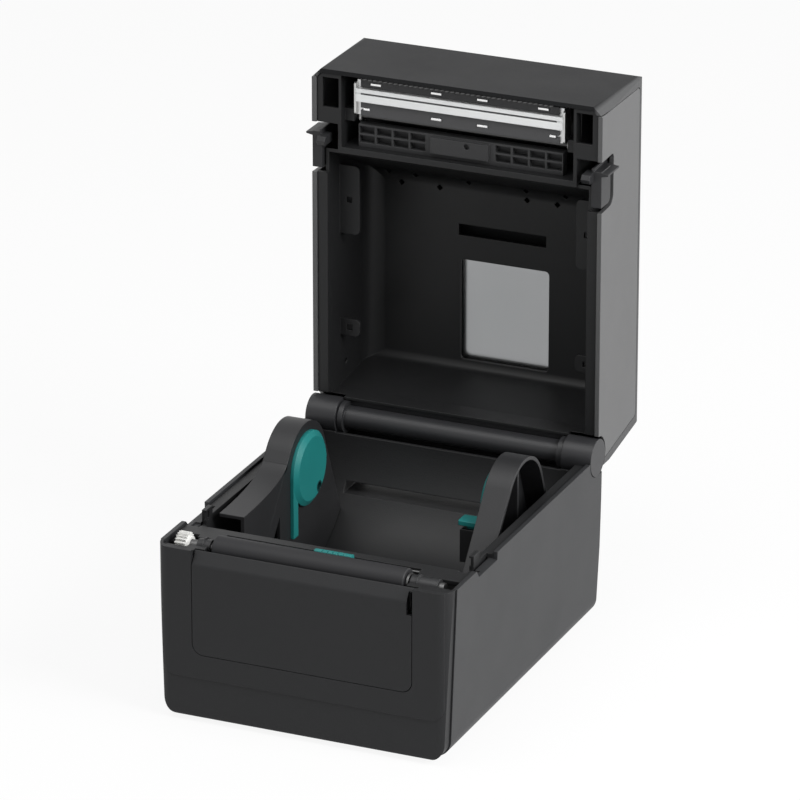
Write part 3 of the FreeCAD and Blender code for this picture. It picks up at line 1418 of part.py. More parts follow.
def make_comb_panel():
    """Ribbed panel behind the head: two rows of open cells and a raised block in their middle."""
    y0 = lid_setback + comb_front
    y1 = lid_setback + head_bay_rear
    low = rim_height + comb_height
    half = comb_length / 2
    bar = box(-half, half, y0, y1, low, low + comb_depth)
    block = box(-comb_block / 2, comb_block / 2, y0 + comb_wall, y0 + 2 * comb_row,
                low - comb_block_proud, low + 1)
    pitch = comb_length / comb_cell_count
    size = pitch - comb_wall
    cells = []
    for row in (0, 1):
        front = y0 + comb_wall + row * comb_row
        for i in range(comb_cell_count):
            x0 = -half + i * pitch + comb_wall / 2
            if abs(x0 + pitch / 2) > comb_block / 2 + pitch / 2:
                cells.append(box(x0, x0 + size, front, front + comb_row - comb_wall,
                                 low - 1, low + comb_cell_depth))
    hole = rod_z(comb_hole, comb_hole_x, y0 + comb_wall + comb_row / 2, low - comb_block_proud - 1, low)
    return joined([bar, block]).cut(cells + [hole])


def make_tear_bar():
    """Thin toothed strip behind the lid's front edge."""
    half = tear_length / 2
    low = rim_height + rim_gap + tear_tooth
    count = int(tear_length // tear_pitch)
    step = tear_length / count
    points = [(half, low + tear_height), (-half, low + tear_height)]
    for i in range(count):
        points += [(-half + i * step, low), (-half + (i + 0.5) * step, low - tear_tooth)]
    points.append((half, low))
    lean = lid_front_lean / (lid_height - case_wall - rim_gap)
    y = lid_setback + case_wall + lean * (tear_height + tear_tooth)
    return prism("xz", points, 0, y, y + tear_thick)


def make_feed_button():
    y = lid_setback + button_depth
    top = roof_z - button_sink
    cap = rod_z(button_radius, button_x, y, top - button_length, top)
    rim = [e for e in cap.Edges if e.Curve.TypeId == "Part::GeomCircle" and e.CenterOfMass.z > top - 1]
    cap = cap.makeChamfer(0.6, rim)
    skirt = rod_z(button_radius + 1.2, button_x, y, top - button_length, top - case_wall - button_sink - 0.2)
    return joined([cap, skirt])


def make_status_lens():
    y = lid_setback + button_depth
    return rod_z(lens_radius, lens_x, y, roof_z - panel_board_drop + panel_board_thick, roof_z - 0.2)


def make_panel_board():
    x0, x1, y0, y1, z = panel_board_box()
    plate = box(x0, x1, y0, y1, z, z + panel_board_thick)
    room = roof_z - button_sink - button_length - button_travel - (z + panel_board_thick)
    half = button_radius / 2
    y = lid_setback + button_depth
    top = z + panel_board_thick + room - bore_gap
    switch = box(button_x - half, button_x + half, y - half, y + half, z, top)
    return joined([plate, switch])


# Print head

def make_thermal_strip():
    y0 = platen_depth - strip_ahead
    half = head_length / 2
    strip = box(-half, half, y0, y0 + strip_width, head_z, head_z + strip_thick)
    line_y = y0 + strip_width / 3
    line = box(-half, half, line_y, line_y + strip_line, head_z - 1, head_z + strip_thick / 4)
    return strip.cut(line)


def make_print_head():
    """Heat sink with the pedestal that carries the thermal strip."""
    half = head_length / 2
    low = head_z + strip_thick
    y0 = platen_depth - strip_ahead
    pedestal = box(-half, half, y0, y0 + strip_width, low, low + pedestal_height)
    sink = box(-half, half, platen_depth - sink_front, platen_depth + sink_rear, low + pedestal_height,
               low + pedestal_height + sink_thick)
    top = bracket_top()
    step = (sink_front + sink_rear) / (fin_count + 1)
    fins = []
    for i in range(fin_count):
        y = platen_depth - sink_front + (i + 1) * step
        fins.append(box(-half - 1, half + 1, y - fin_gap / 2, y + fin_gap / 2, top - fin_depth, top + 1))
    return joined([pedestal, sink]).cut(fins)


def head_cover(y0, y1, slot_y, slot_end):
    """Plate beside the strip, with four slots through which the heat sink shows."""
    low = head_z + strip_thick + pedestal_height - cover_thick
    half = head_cover_length / 2
    plate = box(-half, half, y0, y1, low, low + cover_thick)
    cuts = []
    y0 = slot_y - slot_width / 2
    y1 = slot_y + slot_width / 2
    for x in (slot_end - half, -slot_inner, slot_inner, half - slot_end):
        cuts.append(box(x - slot_length / 2, x + slot_length / 2, y0, y1, low - 1, low + cover_thick + 1))
    return plate.cut(cuts)


def make_head_front_cover():
    y0 = platen_depth - sink_front - cover_ahead
    y1 = platen_depth - strip_ahead - cover_gap
    return head_cover(y0, y1, y0 + cover_ahead + slot_width, front_slot_end)


def make_head_rear_cover():
    y0 = platen_depth - strip_ahead + strip_width + cover_gap
    y1 = platen_depth + sink_rear - bore_gap
    return head_cover(y0, y1, (y0 + y1) / 2, rear_slot_end)


def bracket_top():
    return head_z + strip_thick + pedestal_height + sink_thick


def make_head_bracket():
    """Steel channel over the heat sink: top plate, bright end flanges and pivot ears."""
    half = head_length / 2
    top = bracket_top()
    pivot_y = platen_depth + head_pivot_rear
    pivot_z = rim_height + head_pivot_height
    front = platen_depth - sink_front + 1
    rear = platen_depth + sink_rear
    high = top + bracket_steel
    end = half + bracket_steel
    plate = box(-end, end, front, rear, top, high)
    corners = [flange_corner, flange_corner, 0, 0]
    flange = prism("yz", rectangle(front, rear, head_z + 1, high), corners, half, end)
    strut = [(rear - ear_radius / 2, top), (pivot_y, pivot_z - ear_radius), (pivot_y, pivot_z + ear_radius),
             (rear - ear_radius, high)]
    ear = joined([rod_x(ear_radius, half, end, pivot_y, pivot_z), prism("yz", strut, 0, half, end)])
    bore = rod_x(head_pin_radius + bore_gap, -half_width, half_width, pivot_y, pivot_z)
    return joined([plate] + both_sides(flange) + both_sides(ear)).cut(bore)


def make_head_pin():
    end = head_bay_half + liner_wall
    return rod_x(head_pin_radius, -end, end, platen_depth + head_pivot_rear, rim_height + head_pivot_height)


def make_head_springs():
    """Two short sleeves that stand for the wound springs hidden behind the bracket."""
    low = bracket_top() + bracket_steel
    high = rim_height + head_bay_roof
    springs = []
    for x in (-spring_spacing / 2, spring_spacing / 2):
        coil = rod_z(spring_radius, x, platen_depth, low, high)
        springs.append(coil.cut(rod_z(spring_radius - spring_wire, x, platen_depth, low - 1, high + 1)))
    return Part.makeCompound(springs)


# Latch

def make_latch_lever():
    """Right lever: arm from the cross shaft, flush tab, finger ridge and hook below the rim."""
    front = lid_setback + latch_tab_front
    rear = lid_setback + latch_tab_rear
    low = rim_height + rim_gap
    top = low + latch_tab_height
    eye_radius = latch_shaft_radius + latch_eye
    eye = rod_x(eye_radius, lever_inner, arm_outer, latch_y, latch_z)
    arm = box(lever_inner, arm_outer, latch_y - eye_radius, latch_y + eye_radius, low, latch_z)
    outline = rectangle(front, rear, low, top)
    corners = [0, 0, latch_tab_corner, 0]
    foot = prism("yz", outline, corners, lever_inner, lever_outer)
    tab = prism("yz", outline, corners, lever_outer - 0.5, half_width - fit_gap)
    ridge_top = rim_height + latch_ridge_height
    root = half_width - latch_plate
    crest = half_width + latch_ridge_proud
    grip = [(root, front), (crest, front + latch_ridge * 0.3), (crest, front + latch_ridge * 0.6),
            (root, front + latch_ridge)]
    ridge = prism("xy", grip, 0, low, ridge_top)
    stem = box(lever_outer - 1, root + 1, front, front + latch_ridge, low, ridge_top)
    hook_front = latch_y - hook_depth / 2
    hook_rear = latch_y + hook_depth / 2
    hook_low = rim_height - hook_reach
    hook = box(lever_inner - hook_width, lever_inner + 1, hook_front, hook_rear, hook_low, low + hook_depth)
    nose = prism("yz", [(hook_front, hook_low), (latch_y, hook_low - hook_point), (hook_rear, hook_low)],
                 0, lever_inner - hook_width, lever_inner + 1)
    bore = rod_x(latch_shaft_radius, 0, half_width, latch_y, latch_z)
    return joined([eye, arm, foot, tab, ridge, stem, hook, nose]).cut(bore)


def make_latch_shaft():
    return rod_x(latch_shaft_radius, -arm_outer, arm_outer, latch_y, latch_z)


# Hand out the pieces

def opened(shape):
    """A lid piece swung open about the hinge."""
    shape = shape.copy()
    shape.rotate(Vector(0, hinge_y, hinge_z), Vector(1, 0, 0), -lid_open_angle)
    return shape


def save(name, shape):
    shape = shape.copy()
    shape.translate(Vector(0, -overall_depth / 2, 0))
    shape.exportStep("parts/" + name + ".step")


def base_pieces():
    hollows = {"power_inlet": power_hollow, "data_socket": data_hollow, "network_socket": network_hollow}
    pieces = {
        "lower_case": make_lower_case(),
        "front_bezel": make_front_bezel(),
        "front_door": make_front_door(),
        "bottom_plate": make_bottom_plate(),
        "bottom_screws": make_bottom_screws(),
        "rubber_feet": make_rubber_feet(),
        "media_bay": make_media_bay(),
        "platen_shaft": make_platen_shaft(),
        "platen_roller": make_platen_roller(),
        "platen_gear": make_platen_gear(),
        "platen_clip": make_platen_clip(),
        "platen_bush_left": make_bush(plate_left + bearing_plate - bush_length_left,
                                      plate_left + bearing_plate + bush_inside, plate_left - 1),
        "platen_bush_right": make_bush(plate_right - bush_inside, plate_right + bush_length_right,
                                       plate_right + bearing_plate),
        "motor_bracket": make_motor_bracket(),
        "drive_motor": make_drive_motor(),
        "motor_pinion": make_motor_pinion(),
        "idler_stud": make_idler_stud(),
        "idler_gear": make_idler_gear(),
        "sensor_rail": make_sensor_rail(),
        "media_sensor": make_media_sensor(),
        "roll_guide_right": make_roll_guide(),
        "roll_guide_left": mirrored(make_roll_guide()),
        "hub_right": make_hub(),
        "hub_left": mirrored(make_hub()),
        "rack_left": make_rack(-1),
        "rack_right": make_rack(1),
        "rack_pinion": make_rack_pinion(),
        "rack_tray": make_rack_tray(),
        "lock_housing": make_lock_housing(),
        "guide_lock": make_guide_lock(),
        "main_board": make_main_board(),
        "power_switch": make_power_switch(),
        "power_rocker": make_power_rocker(),
        "hinge_knuckle_right": make_hinge_knuckle(),
        "hinge_knuckle_left": mirrored(make_hinge_knuckle()),
        "hinge_pin": make_hinge_pin(),
    }
    for name, middle, width, height, depth in sockets():
        pieces[name] = make_socket(middle, width, height, depth, hollows[name])
    return pieces


def lid_pieces():
    return {
        "lid_cover": make_lid_cover(),
        "lid_side_right": make_lid_side(),
        "lid_side_left": mirrored(make_lid_side()),
        "lid_liner": make_lid_liner(),
        "lid_window": make_lid_window(),
        "hinge_leaf": make_hinge_leaf(),
        "comb_panel": make_comb_panel(),
        "tear_bar": make_tear_bar(),
        "feed_button": make_feed_button(),
        "status_lens": make_status_lens(),
        "panel_board": make_panel_board(),
        "thermal_strip": make_thermal_strip(),
        "print_head": make_print_head(),
        "head_front_cover": make_head_front_cover(),
        "head_rear_cover": make_head_rear_cover(),
        "head_bracket": make_head_bracket(),
        "head_pin": make_head_pin(),
        "head_springs": make_head_springs(),
        "latch_lever_right": make_latch_lever(),
        "latch_lever_left": mirrored(make_latch_lever()),
        "latch_shaft": make_latch_shaft(),
    }


os.makedirs("parts", exist_ok=True)
for name, shape in base_pieces().items():
    save(name, shape)
for name, shape in lid_pieces().items():
    save(name, opened(shape))
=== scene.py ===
import math

import bpy
import numpy as np
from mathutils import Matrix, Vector


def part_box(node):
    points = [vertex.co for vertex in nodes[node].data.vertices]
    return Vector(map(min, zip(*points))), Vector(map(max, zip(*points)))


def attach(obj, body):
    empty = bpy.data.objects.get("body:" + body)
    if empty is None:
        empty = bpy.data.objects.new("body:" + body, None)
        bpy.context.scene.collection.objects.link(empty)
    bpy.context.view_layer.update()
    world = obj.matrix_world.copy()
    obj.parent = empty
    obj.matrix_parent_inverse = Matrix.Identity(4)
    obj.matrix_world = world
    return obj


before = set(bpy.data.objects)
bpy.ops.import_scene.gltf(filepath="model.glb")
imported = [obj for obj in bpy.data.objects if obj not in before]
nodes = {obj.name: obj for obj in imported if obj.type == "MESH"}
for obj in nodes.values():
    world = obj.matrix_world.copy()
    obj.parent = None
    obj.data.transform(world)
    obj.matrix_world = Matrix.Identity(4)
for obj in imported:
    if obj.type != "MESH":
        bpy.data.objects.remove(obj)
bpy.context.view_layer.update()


# Feet: four round pads that keep the printer from sliding on the table.
# They are cut from black rubber, dead matt with a dusty bloom, and stuck under
# the corners of the case.

class Shade:
    """A socket of a material. Arithmetic on it adds Math nodes, and node() adds any other node."""

    def __init__(self, tree, socket=None):
        self.tree = tree
        self.socket = socket

    def node(self, kind, settings=None, links=None, output=0):
        """A node of the kind, with its settings made first and then its sockets filled or linked."""
        made = self.tree.nodes.new("ShaderNode" + kind)
        for name, value in (settings or {}).items():
            setattr(made, name, value)
        for name, value in (links or {}).items():
            if isinstance(value, Shade):
                self.tree.links.new(value.socket, made.inputs[name])
            else:
                made.inputs[name].default_value = value
        return Shade(self.tree, made.outputs[output])

    def math(self, operation, first, second=0.0):
        return self.node("Math", {"operation": operation}, {0: first, 1: second})

    def __add__(self, other):
        return self.math("ADD", self, other)

    def __radd__(self, other):
        return self.math("ADD", other, self)

    def __sub__(self, other):
        return self.math("SUBTRACT", self, other)

    def __rsub__(self, other):
        return self.math("SUBTRACT", other, self)

    def __mul__(self, other):
        return self.math("MULTIPLY", self, other)

    def __rmul__(self, other):
        return self.math("MULTIPLY", other, self)

    def __abs__(self):
        return self.math("ABSOLUTE", self)

    def rise(self, low, high):
        """Zero below low, one above high, and even between."""
        return self.node("MapRange", links={0: self, 1: low, 2: high})

    def mix(self, first, second):
        """Colour between two others by this value."""
        return self.node("Mix", {"data_type": "RGBA"}, {0: self, 6: first, 7: second}, output=2)


def new_material(name):
    """An empty material; returns it, a Shade on it and its surface node."""
    material = bpy.data.materials.new(name)
    material.use_nodes = True
    tree = material.node_tree
    return material, Shade(tree), tree.nodes["Principled BSDF"]


def set_surface(shade, surface, constants, varying):
    """Writes fixed numbers on the surface's sockets and links what changes over it."""
    for name, value in constants.items():
        surface.inputs[name].default_value = value
    for name, value in varying.items():
        shade.tree.links.new(value.socket, surface.inputs[name])


def dress(material, *names):
    """Gives CAD pieces their finish."""
    for name in names:
        for place in nodes[name].material_slots:
            place.material = material


def toned(amount, colour, spread):
    """A colour that drifts by a share to either side of itself."""
    dark = tuple(c * (1 - spread) for c in colour)
    light = tuple(min(1.0, c * (1 + spread)) for c in colour)
    return amount.mix((*dark, 1.0), (*light, 1.0))


def axes(shade, place):
    """The three parts of a place as Shades."""
    split = shade.tree.nodes.new("ShaderNodeSeparateXYZ")
    shade.tree.links.new(place.socket, split.inputs[0])
    return [Shade(shade.tree, socket) for socket in split.outputs]


cloud_scale = 22.0
cloud_share = 0.7
grain_share = 0.3
moulded_edge = 0.0006


def moulded(name, colour, rough, specular, grain=0.0005, depth=0.0001, spread=0.2, other=None, where=None):
    """Moulded plastic or rubber: a fine cast grain, slow cloudy tone and softened edges.

    Where a second colour is given, where(x, y, z) says how much of it shows at a place."""
    material, shade, surface = new_material(name)
    place = shade.node("TexCoord", output=3)
    fine = shade.node("TexNoise", links={"Vector": place, "Scale": 1 / grain, "Detail": 2.0})
    cloud = shade.node("TexNoise", links={"Vector": place, "Scale": cloud_scale, "Detail": 4.0,
                                          "Roughness": 0.6})
    rounded = shade.node("Bevel", {"samples": 6}, {"Radius": moulded_edge})
    bump = shade.node("Bump", links={"Height": fine, "Strength": 0.35, "Distance": depth, "Normal": rounded})
    tone = cloud * cloud_share + fine * grain_share
    base = toned(tone, colour, spread)
    if other:
        base = where(*axes(shade, place)).mix(base, toned(tone, other, spread))
    set_surface(shade, surface, {"Specular IOR Level": specular},
                {"Base Color": base, "Roughness": rough - 0.12 + cloud * 0.16 + fine * 0.08, "Normal": bump})
    return material


foot_black = (0.012, 0.012, 0.012)
dress(moulded("FootRubber", foot_black, rough=0.85, specular=0.2, grain=0.0006, depth=0.0003), "rubber_feet")

# Base case and bottom plate: the printer's outer walls and floor.
# Both are dark grey moulded plastic with a fine cast grain. The case is one moulding,
# and the plate lies in the opening under it on four screws.

case_grey = (0.02, 0.0205, 0.022)
case_grain_depth = 0.0002
dress(moulded("BasePlastic", case_grey, rough=0.48, specular=0.3, depth=case_grain_depth),
      "lower_case", "bottom_plate")

# Front bezel and door: the case's front face, moulded in the same plastic, drawn darker as painted shade for
# a face turned from the lamps.
# The door sits in the bezel's opening, and its lip leans back under the platen.

# The darker grey is painted shade, not a different plastic.
front_shaded_grey = (0.014, 0.0143, 0.0153)
dress(moulded("FrontPlasticShaded", front_shaded_grey, rough=0.5, specular=0.25, depth=case_grain_depth),
      "front_bezel", "front_door")

# Media bay: one near-black moulding with the deck, the ramp and the round scoop for the roll.
# It hangs from the case's rim, and the tray for the guides' racks hangs under the scoop.

bay_grey = (0.011, 0.0112, 0.0118)
bay_grain = 0.0006
dress(moulded("BayPlastic", bay_grey, rough=0.48, specular=0.3, grain=bay_grain, depth=case_grain_depth),
      "media_bay", "rack_tray")

# Platen: the roller that feeds the labels, a sleeve of dark rubber on a blackened steel shaft.
# A clip holds the shaft, which turns in two plastic bushes that drop into the bay's bearing plates.

platen_grey = (0.0165, 0.0165, 0.018)
dress(moulded("PlatenRubber", platen_grey, rough=0.55, specular=0.25, grain=0.0003, depth=0.00005),
      "platen_roller")
bush_grey = (0.02, 0.0202, 0.0215)
dress(moulded("BushPlastic", bush_grey, rough=0.42, specular=0.3), "platen_bush_left", "platen_bush_right")
marks_along = 40.0
marks_across = 2500.0
metal_edge = 0.0003
metal_spread = 0.1


def drawn_metal(name, colour, rough, other=None, where=None):
    """Drawn or pressed metal: fine marks along x in its tone and roughness, and softened edges.

    Where a second colour is given, where(x, y, z) says how much of it shows at a place."""
    material, shade, surface = new_material(name)
    place = shade.node("TexCoord", output=3)
    along = shade.node("Mapping", links={"Vector": place, "Scale": (marks_along, marks_across, marks_across)})
    marks = shade.node("TexNoise", links={"Vector": along, "Scale": 1.0, "Detail": 3.0})
    rounded = shade.node("Bevel", {"samples": 4}, {"Radius": metal_edge})
    bump = shade.node("Bump", links={"Height": marks, "Strength": 0.15, "Distance": 0.00005,
                                     "Normal": rounded})
    base = toned(marks, colour, metal_spread)
    if other:
        base = where(*axes(shade, place)).mix(base, toned(marks, other, metal_spread))
    set_surface(shade, surface, {"Metallic": 1.0},
                {"Base Color": base, "Roughness": rough - 0.06 + marks * 0.12, "Normal": bump})
    return material


black_steel = drawn_metal("BlackSteel", (0.1, 0.1, 0.1), rough=0.42)
dress(black_steel, "platen_shaft", "platen_clip")

# Gears and racks: they turn the platen and move the roll guides together.
# All are white moulded nylon with a waxy sheen, pressed on the platen's and the motor's shafts,
# loose on the idler's stud, and fixed under the guides.

gear_white = (0.72, 0.72, 0.7)
dress(moulded("GearNylon", gear_white, rough=0.45, specular=0.4, grain=0.0004, depth=0.00005, spread=0.05),
      "platen_gear", "idler_gear", "motor_pinion", "rack_left", "rack_right", "rack_pinion")

# Motor, its bracket, the idler's stud and the bottom screws: zinc-plated steel.
# The bracket hangs under the deck beside the gears and carries the motor and the stud.

zinc_grey = (0.62, 0.62, 0.61)
zinc = drawn_metal("ZincSteel", zinc_grey, rough=0.3)
dress(zinc, "drive_motor", "motor_bracket", "idler_stud", "bottom_screws")

# Media sensor: a slider that looks for the gap between labels, moulded in teal plastic.
# It clips over a thin blackened steel rail in the deck's channel.

touch_teal = (0.012, 0.17, 0.165)
teal_plastic = moulded("TealPlastic", touch_teal, rough=0.42, specular=0.35)
dress(teal_plastic, "media_sensor")
dress(black_steel, "sensor_rail")

# Roll guides: dark moulded plates with a deep rim, open towards the case, on racks under the scoop.
# Their hubs and the lock's tab are teal, so that a hand finds them. A darker teal round the hole
# of each hub is painted shade in its well.

guide_grey = (0.0165, 0.0167, 0.0178)
guide_plastic = moulded("GuidePlastic", guide_grey, rough=0.45, specular=0.3)
dress(guide_plastic, "roll_guide_left", "roll_guide_right", "lock_housing")
dress(teal_plastic, "guide_lock")
hub_low, hub_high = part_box("hub_left")
hub_radius = (hub_high[1] - hub_low[1]) / 2
axis_y = (hub_low[1] + hub_high[1]) / 2
axis_z = hub_high[2] - hub_radius
well_reach = 0.016
well_angle = math.radians(-58.0)
well_y = axis_y + well_reach * math.cos(well_angle)
well_z = axis_z + well_reach * math.sin(well_angle)
well_radius = 0.0034
well_edge = 0.0003
# The well's darker teal is painted shade.
well_shade_teal = (0.003, 0.03, 0.03)


def in_painted_well_shade(x, y, z):
    """One within the well's radius of its middle, fading at its edge: where the painted shade lies."""
    across = y - well_y
    up = z - well_z
    away = x.math("SQRT", across * across + up * up)
    return 1 - away.rise(well_radius - well_edge, well_radius)


dress(moulded("HubPlasticWellShade", touch_teal, rough=0.42, specular=0.35, other=well_shade_teal, where=in_painted_well_shade),
      "hub_left", "hub_right")

# Fin of the left guide: the guide's plate runs on towards the deck with a hollowed upper edge,
# and the rim turns out along that edge to a level foot. It is moulded in one with the guide.

guide_low, guide_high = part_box("roll_guide_left")
front_angle = math.radians(51.0)
front_slope = math.tan(front_angle)
arch_radius = guide_high[2] - axis_z
start_y = axis_y - arch_radius * math.sin(front_angle)
start_z = axis_z + arch_radius * math.cos(front_angle)
ramp_slope = math.tan(math.radians(40.0))
fin_top = 0.108
fin_foot = 0.0986
fin_reach = -0.082
fin_wall = 0.002
fin_steps = 40


def front_height(y):
    """Height of the guide's sloping front, a straight line down from the end of its arch."""
    return start_z - (start_y - y) * front_slope


def ramp_height(y):
    """Height of the fin's lower edge over the ramp, a straight line through the guide's front corner."""
    return front_height(guide_low[1]) - (y - guide_low[1]) * ramp_slope


def fin_stations():
    """Places along the fin: y, its upper edge and its lower edge.

    The upper edge is the curve (1-t)^2 A + 2t(1-t) B + t^2 C, where A and B lie on the guide's sloping
    front and C is the end of the foot. The lower edge follows that front, then the ramp."""
    t = np.linspace(0.0, 1.0, fin_steps)
    a_y = start_y - (start_z - fin_top) / front_slope
    b_y = start_y - (start_z - fin_foot) / front_slope
    y = (1 - t) ** 2 * a_y + 2 * t * (1 - t) * b_y + t ** 2 * fin_reach
    upper = (1 - t) ** 2 * fin_top + (1 - (1 - t) ** 2) * fin_foot
    return y, upper, np.minimum(np.maximum(front_height(y), ramp_height(y)), upper - fin_wall)


def new_piece(name, points, faces):
    """A piece of the scene from its points and faces."""
    mesh = bpy.data.meshes.new(name)
    mesh.from_pydata(points.reshape(-1, 3).tolist(), [], faces)
    made = bpy.data.objects.new(name, mesh)
    bpy.context.scene.collection.objects.link(made)
    return made


def swept_piece(name, rings):
    """A profile carried along a path: ring i joins ring i + 1 point by point, and both ends are capped."""
    count, around = rings.shape[:2]
    i, k = np.meshgrid(np.arange(count - 1), np.arange(around), indexing="ij")
    after = (k + 1) % around
    quads = np.stack([i * around + k, i * around + after, (i + 1) * around + after, (i + 1) * around + k], -1)
    caps = [list(range(around))[::-1], list(range((count - 1) * around, count * around))]
    return new_piece(name, rings, quads.reshape(-1, 4).tolist() + caps)


fin_y, fin_upper, fin_lower = fin_stations()
fin_inner = guide_high[0]
fin_outer = guide_low[0]
rim_x = [fin_inner, fin_outer, fin_outer, fin_inner - fin_wall, fin_inner - fin_wall, fin_inner]
rim_z = [fin_upper, fin_upper, fin_upper - fin_wall, fin_upper - fin_wall, fin_lower, fin_lower]
fin_rings = np.stack([np.stack([np.full(fin_steps, x), fin_y, z], -1) for x, z in zip(rim_x, rim_z)], 1)
fin = swept_piece("guide_fin", fin_rings)
fin.data.materials.append(guide_plastic)
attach(fin, "left_guide")

# Electronics: a green laminate board on posts, and on the rear wall the metal-cased data and
# network sockets, a black moulded power inlet and a black switch with its rocker.

board_green = (0.01, 0.08, 0.03)
board_laminate = moulded("BoardLaminate", board_green, rough=0.4, specular=0.4)
dress(board_laminate, "main_board")
dress(zinc, "data_socket", "network_socket")
socket_black = (0.008, 0.008, 0.008)
dress(moulded("SocketPlastic", socket_black, rough=0.4, specular=0.4), "power_inlet", "power_switch",
      "power_rocker")

# Hinge: two fixed knuckles on the case and the lid's leaf with its tube between them.
# They are moulded in dark plastic, and a steel pin runs through all three.

hinge_grey = (0.022, 0.0222, 0.024)
dress(moulded("HingePlastic", hinge_grey, rough=0.42, specular=0.3), "hinge_knuckle_left",
      "hinge_knuckle_right", "hinge_leaf")
dress(zinc, "hinge_pin")

# Lid: a cover moulded in one with its roof, front and rear, and two satin side panels that
# clip into it. The panels' lighter grey is painted light, the sheen the sides catch from the lamps and
# the white floor, and the cover's edges beside the panels fade into it as a painted highlight.

lid_grey = (0.0098, 0.01, 0.0107)
# The side grey is painted light: the sheen of the lid's sides, drawn into the plastic's colour.
painted_side_light_grey = (0.068, 0.0685, 0.0695)
side_light_start = 0.0800
side_light_full = 0.0818


def painted_side_light(x, y, z):
    """One at the lid's outer sides, fading inwards: where the painted side light shows."""
    return abs(x).rise(side_light_start, side_light_full)


dress(moulded("LidPlasticEdgeLight", lid_grey, rough=0.5, specular=0.12, depth=case_grain_depth, other=painted_side_light_grey,
              where=painted_side_light), "lid_cover")
dress(moulded("SidePlasticPaintedLight", painted_side_light_grey, rough=0.42, specular=0.5, depth=case_grain_depth, spread=0.1),
      "lid_side_left", "lid_side_right")

# Liner and comb panel: near-black mouldings screwed inside the lid.
# The liner makes room for the roll, and the comb guides the labels behind the print head.

liner_grey = (0.0095, 0.0097, 0.0102)
dress(moulded("LinerPlastic", liner_grey, rough=0.48, specular=0.3, grain=bay_grain, depth=case_grain_depth),
      "lid_liner")
comb_grey = (0.029, 0.0292, 0.0302)
dress(moulded("CombPlastic", comb_grey, rough=0.48, specular=0.3), "comb_panel")

# Window: a pane in the lid's roof, through which the roll can be seen.
# It is smoked acrylic, slightly hazed, and set into the cover's opening.

pane_grey = (0.3, 0.305, 0.31)
pane_spread = 0.06
pane, pane_shade, pane_surface = new_material("SmokedAcrylic")
pane_place = pane_shade.node("TexCoord", output=3)
pane_haze = pane_shade.node("TexNoise", links={"Vector": pane_place, "Scale": 18.0, "Detail": 3.0})
set_surface(pane_shade, pane_surface, {"Transmission Weight": 1.0, "IOR": 1.45},
            {"Base Color": toned(pane_haze, pane_grey, pane_spread), "Roughness": 0.2 + pane_haze * 0.1})
dress(pane, "lid_window")

# Feed button and status lens: a grey moulded push button and a small pale green light guide.
# Both sit in the lid's roof over their own small laminate board.

button_grey = (0.1, 0.1, 0.105)
dress(moulded("ButtonPlastic", button_grey, rough=0.45, specular=0.4), "feed_button")
lens_green = (0.4, 0.6, 0.4)
dress(moulded("LensPlastic", lens_green, rough=0.2, specular=0.5), "status_lens")
dress(board_laminate, "panel_board")

# Print head: a glazed ceramic strip with a dark row of heating dots, bonded to an aluminium heat
# sink. A pressed zinc bracket carries it on a pin, its middle darkened with painted shade and its
# ends in the zinc's own grey, and two springs push it down.

strip_low, strip_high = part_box("thermal_strip")
strip_white = (0.78, 0.79, 0.79)
dot_grey = (0.05, 0.05, 0.052)
dot_share = 0.36
dot_row = strip_high[2] - (strip_high[2] - strip_low[2]) * dot_share
dot_half = 0.00045
dot_fade = 1.3
dot_margin = 0.003
margin_fade = 1.1


def on_dot_row(x, y, z):
    """One on the row of dots, short of the strip's ends."""
    across = 1 - abs(z - dot_row).rise(dot_half, dot_half * dot_fade)
    along = 1 - abs(x).rise(strip_high[0] - dot_margin * margin_fade, strip_high[0] - dot_margin)
    return across * along


dress(moulded("StripGlaze", strip_white, rough=0.18, specular=0.6, depth=0.00002, spread=0.04,
              other=dot_grey, where=on_dot_row), "thermal_strip")
dress(drawn_metal("SinkAluminium", (0.66, 0.66, 0.66), rough=0.34), "print_head")
# The dark middle of the zinc bracket is painted shade.
bracket_painted_shade = (0.04, 0.04, 0.04)
bracket_start = strip_high[0] - 0.0004
bracket_full = strip_high[0] - 0.0001


def at_ends(x, y, z):
    """One past the strip's ends."""
    return abs(x).rise(bracket_start, bracket_full)


dress(drawn_metal("BracketSteelPaintedShade", bracket_painted_shade, rough=0.4, other=zinc_grey, where=at_ends), "head_bracket")
dress(black_steel, "head_pin")
dress(zinc, "head_springs")

# Head covers: two dark grey moulded plates that clip on beside the strip.
# Bright sprung tongues of the heat sink's steel clamp show in their slots.

front_cover_grey = (0.036, 0.036, 0.0375)
rear_cover_grey = (0.062, 0.062, 0.064)
dress(moulded("FrontCoverPlastic", front_cover_grey, rough=0.45, specular=0.3, spread=0.12),
      "head_front_cover")
dress(moulded("RearCoverPlastic", rear_cover_grey, rough=0.45, specular=0.3, spread=0.12),
      "head_rear_cover")
tongue_half = 0.003
tongue_height = 0.0012
tongue_thick = 0.0006
tongue_proud = 0.00025
slot_inner = 0.0135
slot_end = 0.049
slot_drop = 0.0022
rear_end = 0.0545
rear_end_half = 0.0018


def block_piece(name, blocks):
    """Upright blocks in one piece.

    Corner k of a block is middle + half * s(k), where s runs over the eight signs of x, y and z."""
    blocks = np.array(blocks)
    signs = np.array([(i, j, k) for i in (-1, 1) for j in (-1, 1) for k in (-1, 1)])
    corners = blocks[:, None, 0, :] + blocks[:, None, 1, :] * signs[None, :, :]
    sides = np.array([(0, 1, 3, 2), (4, 6, 7, 5), (0, 4, 5, 1), (2, 3, 7, 6), (0, 2, 6, 4), (1, 5, 7, 3)])
    faces = sides[None, :, :] + 8 * np.arange(len(blocks))[:, None, None]
    return new_piece(name, corners, faces.reshape(-1, 4).tolist())


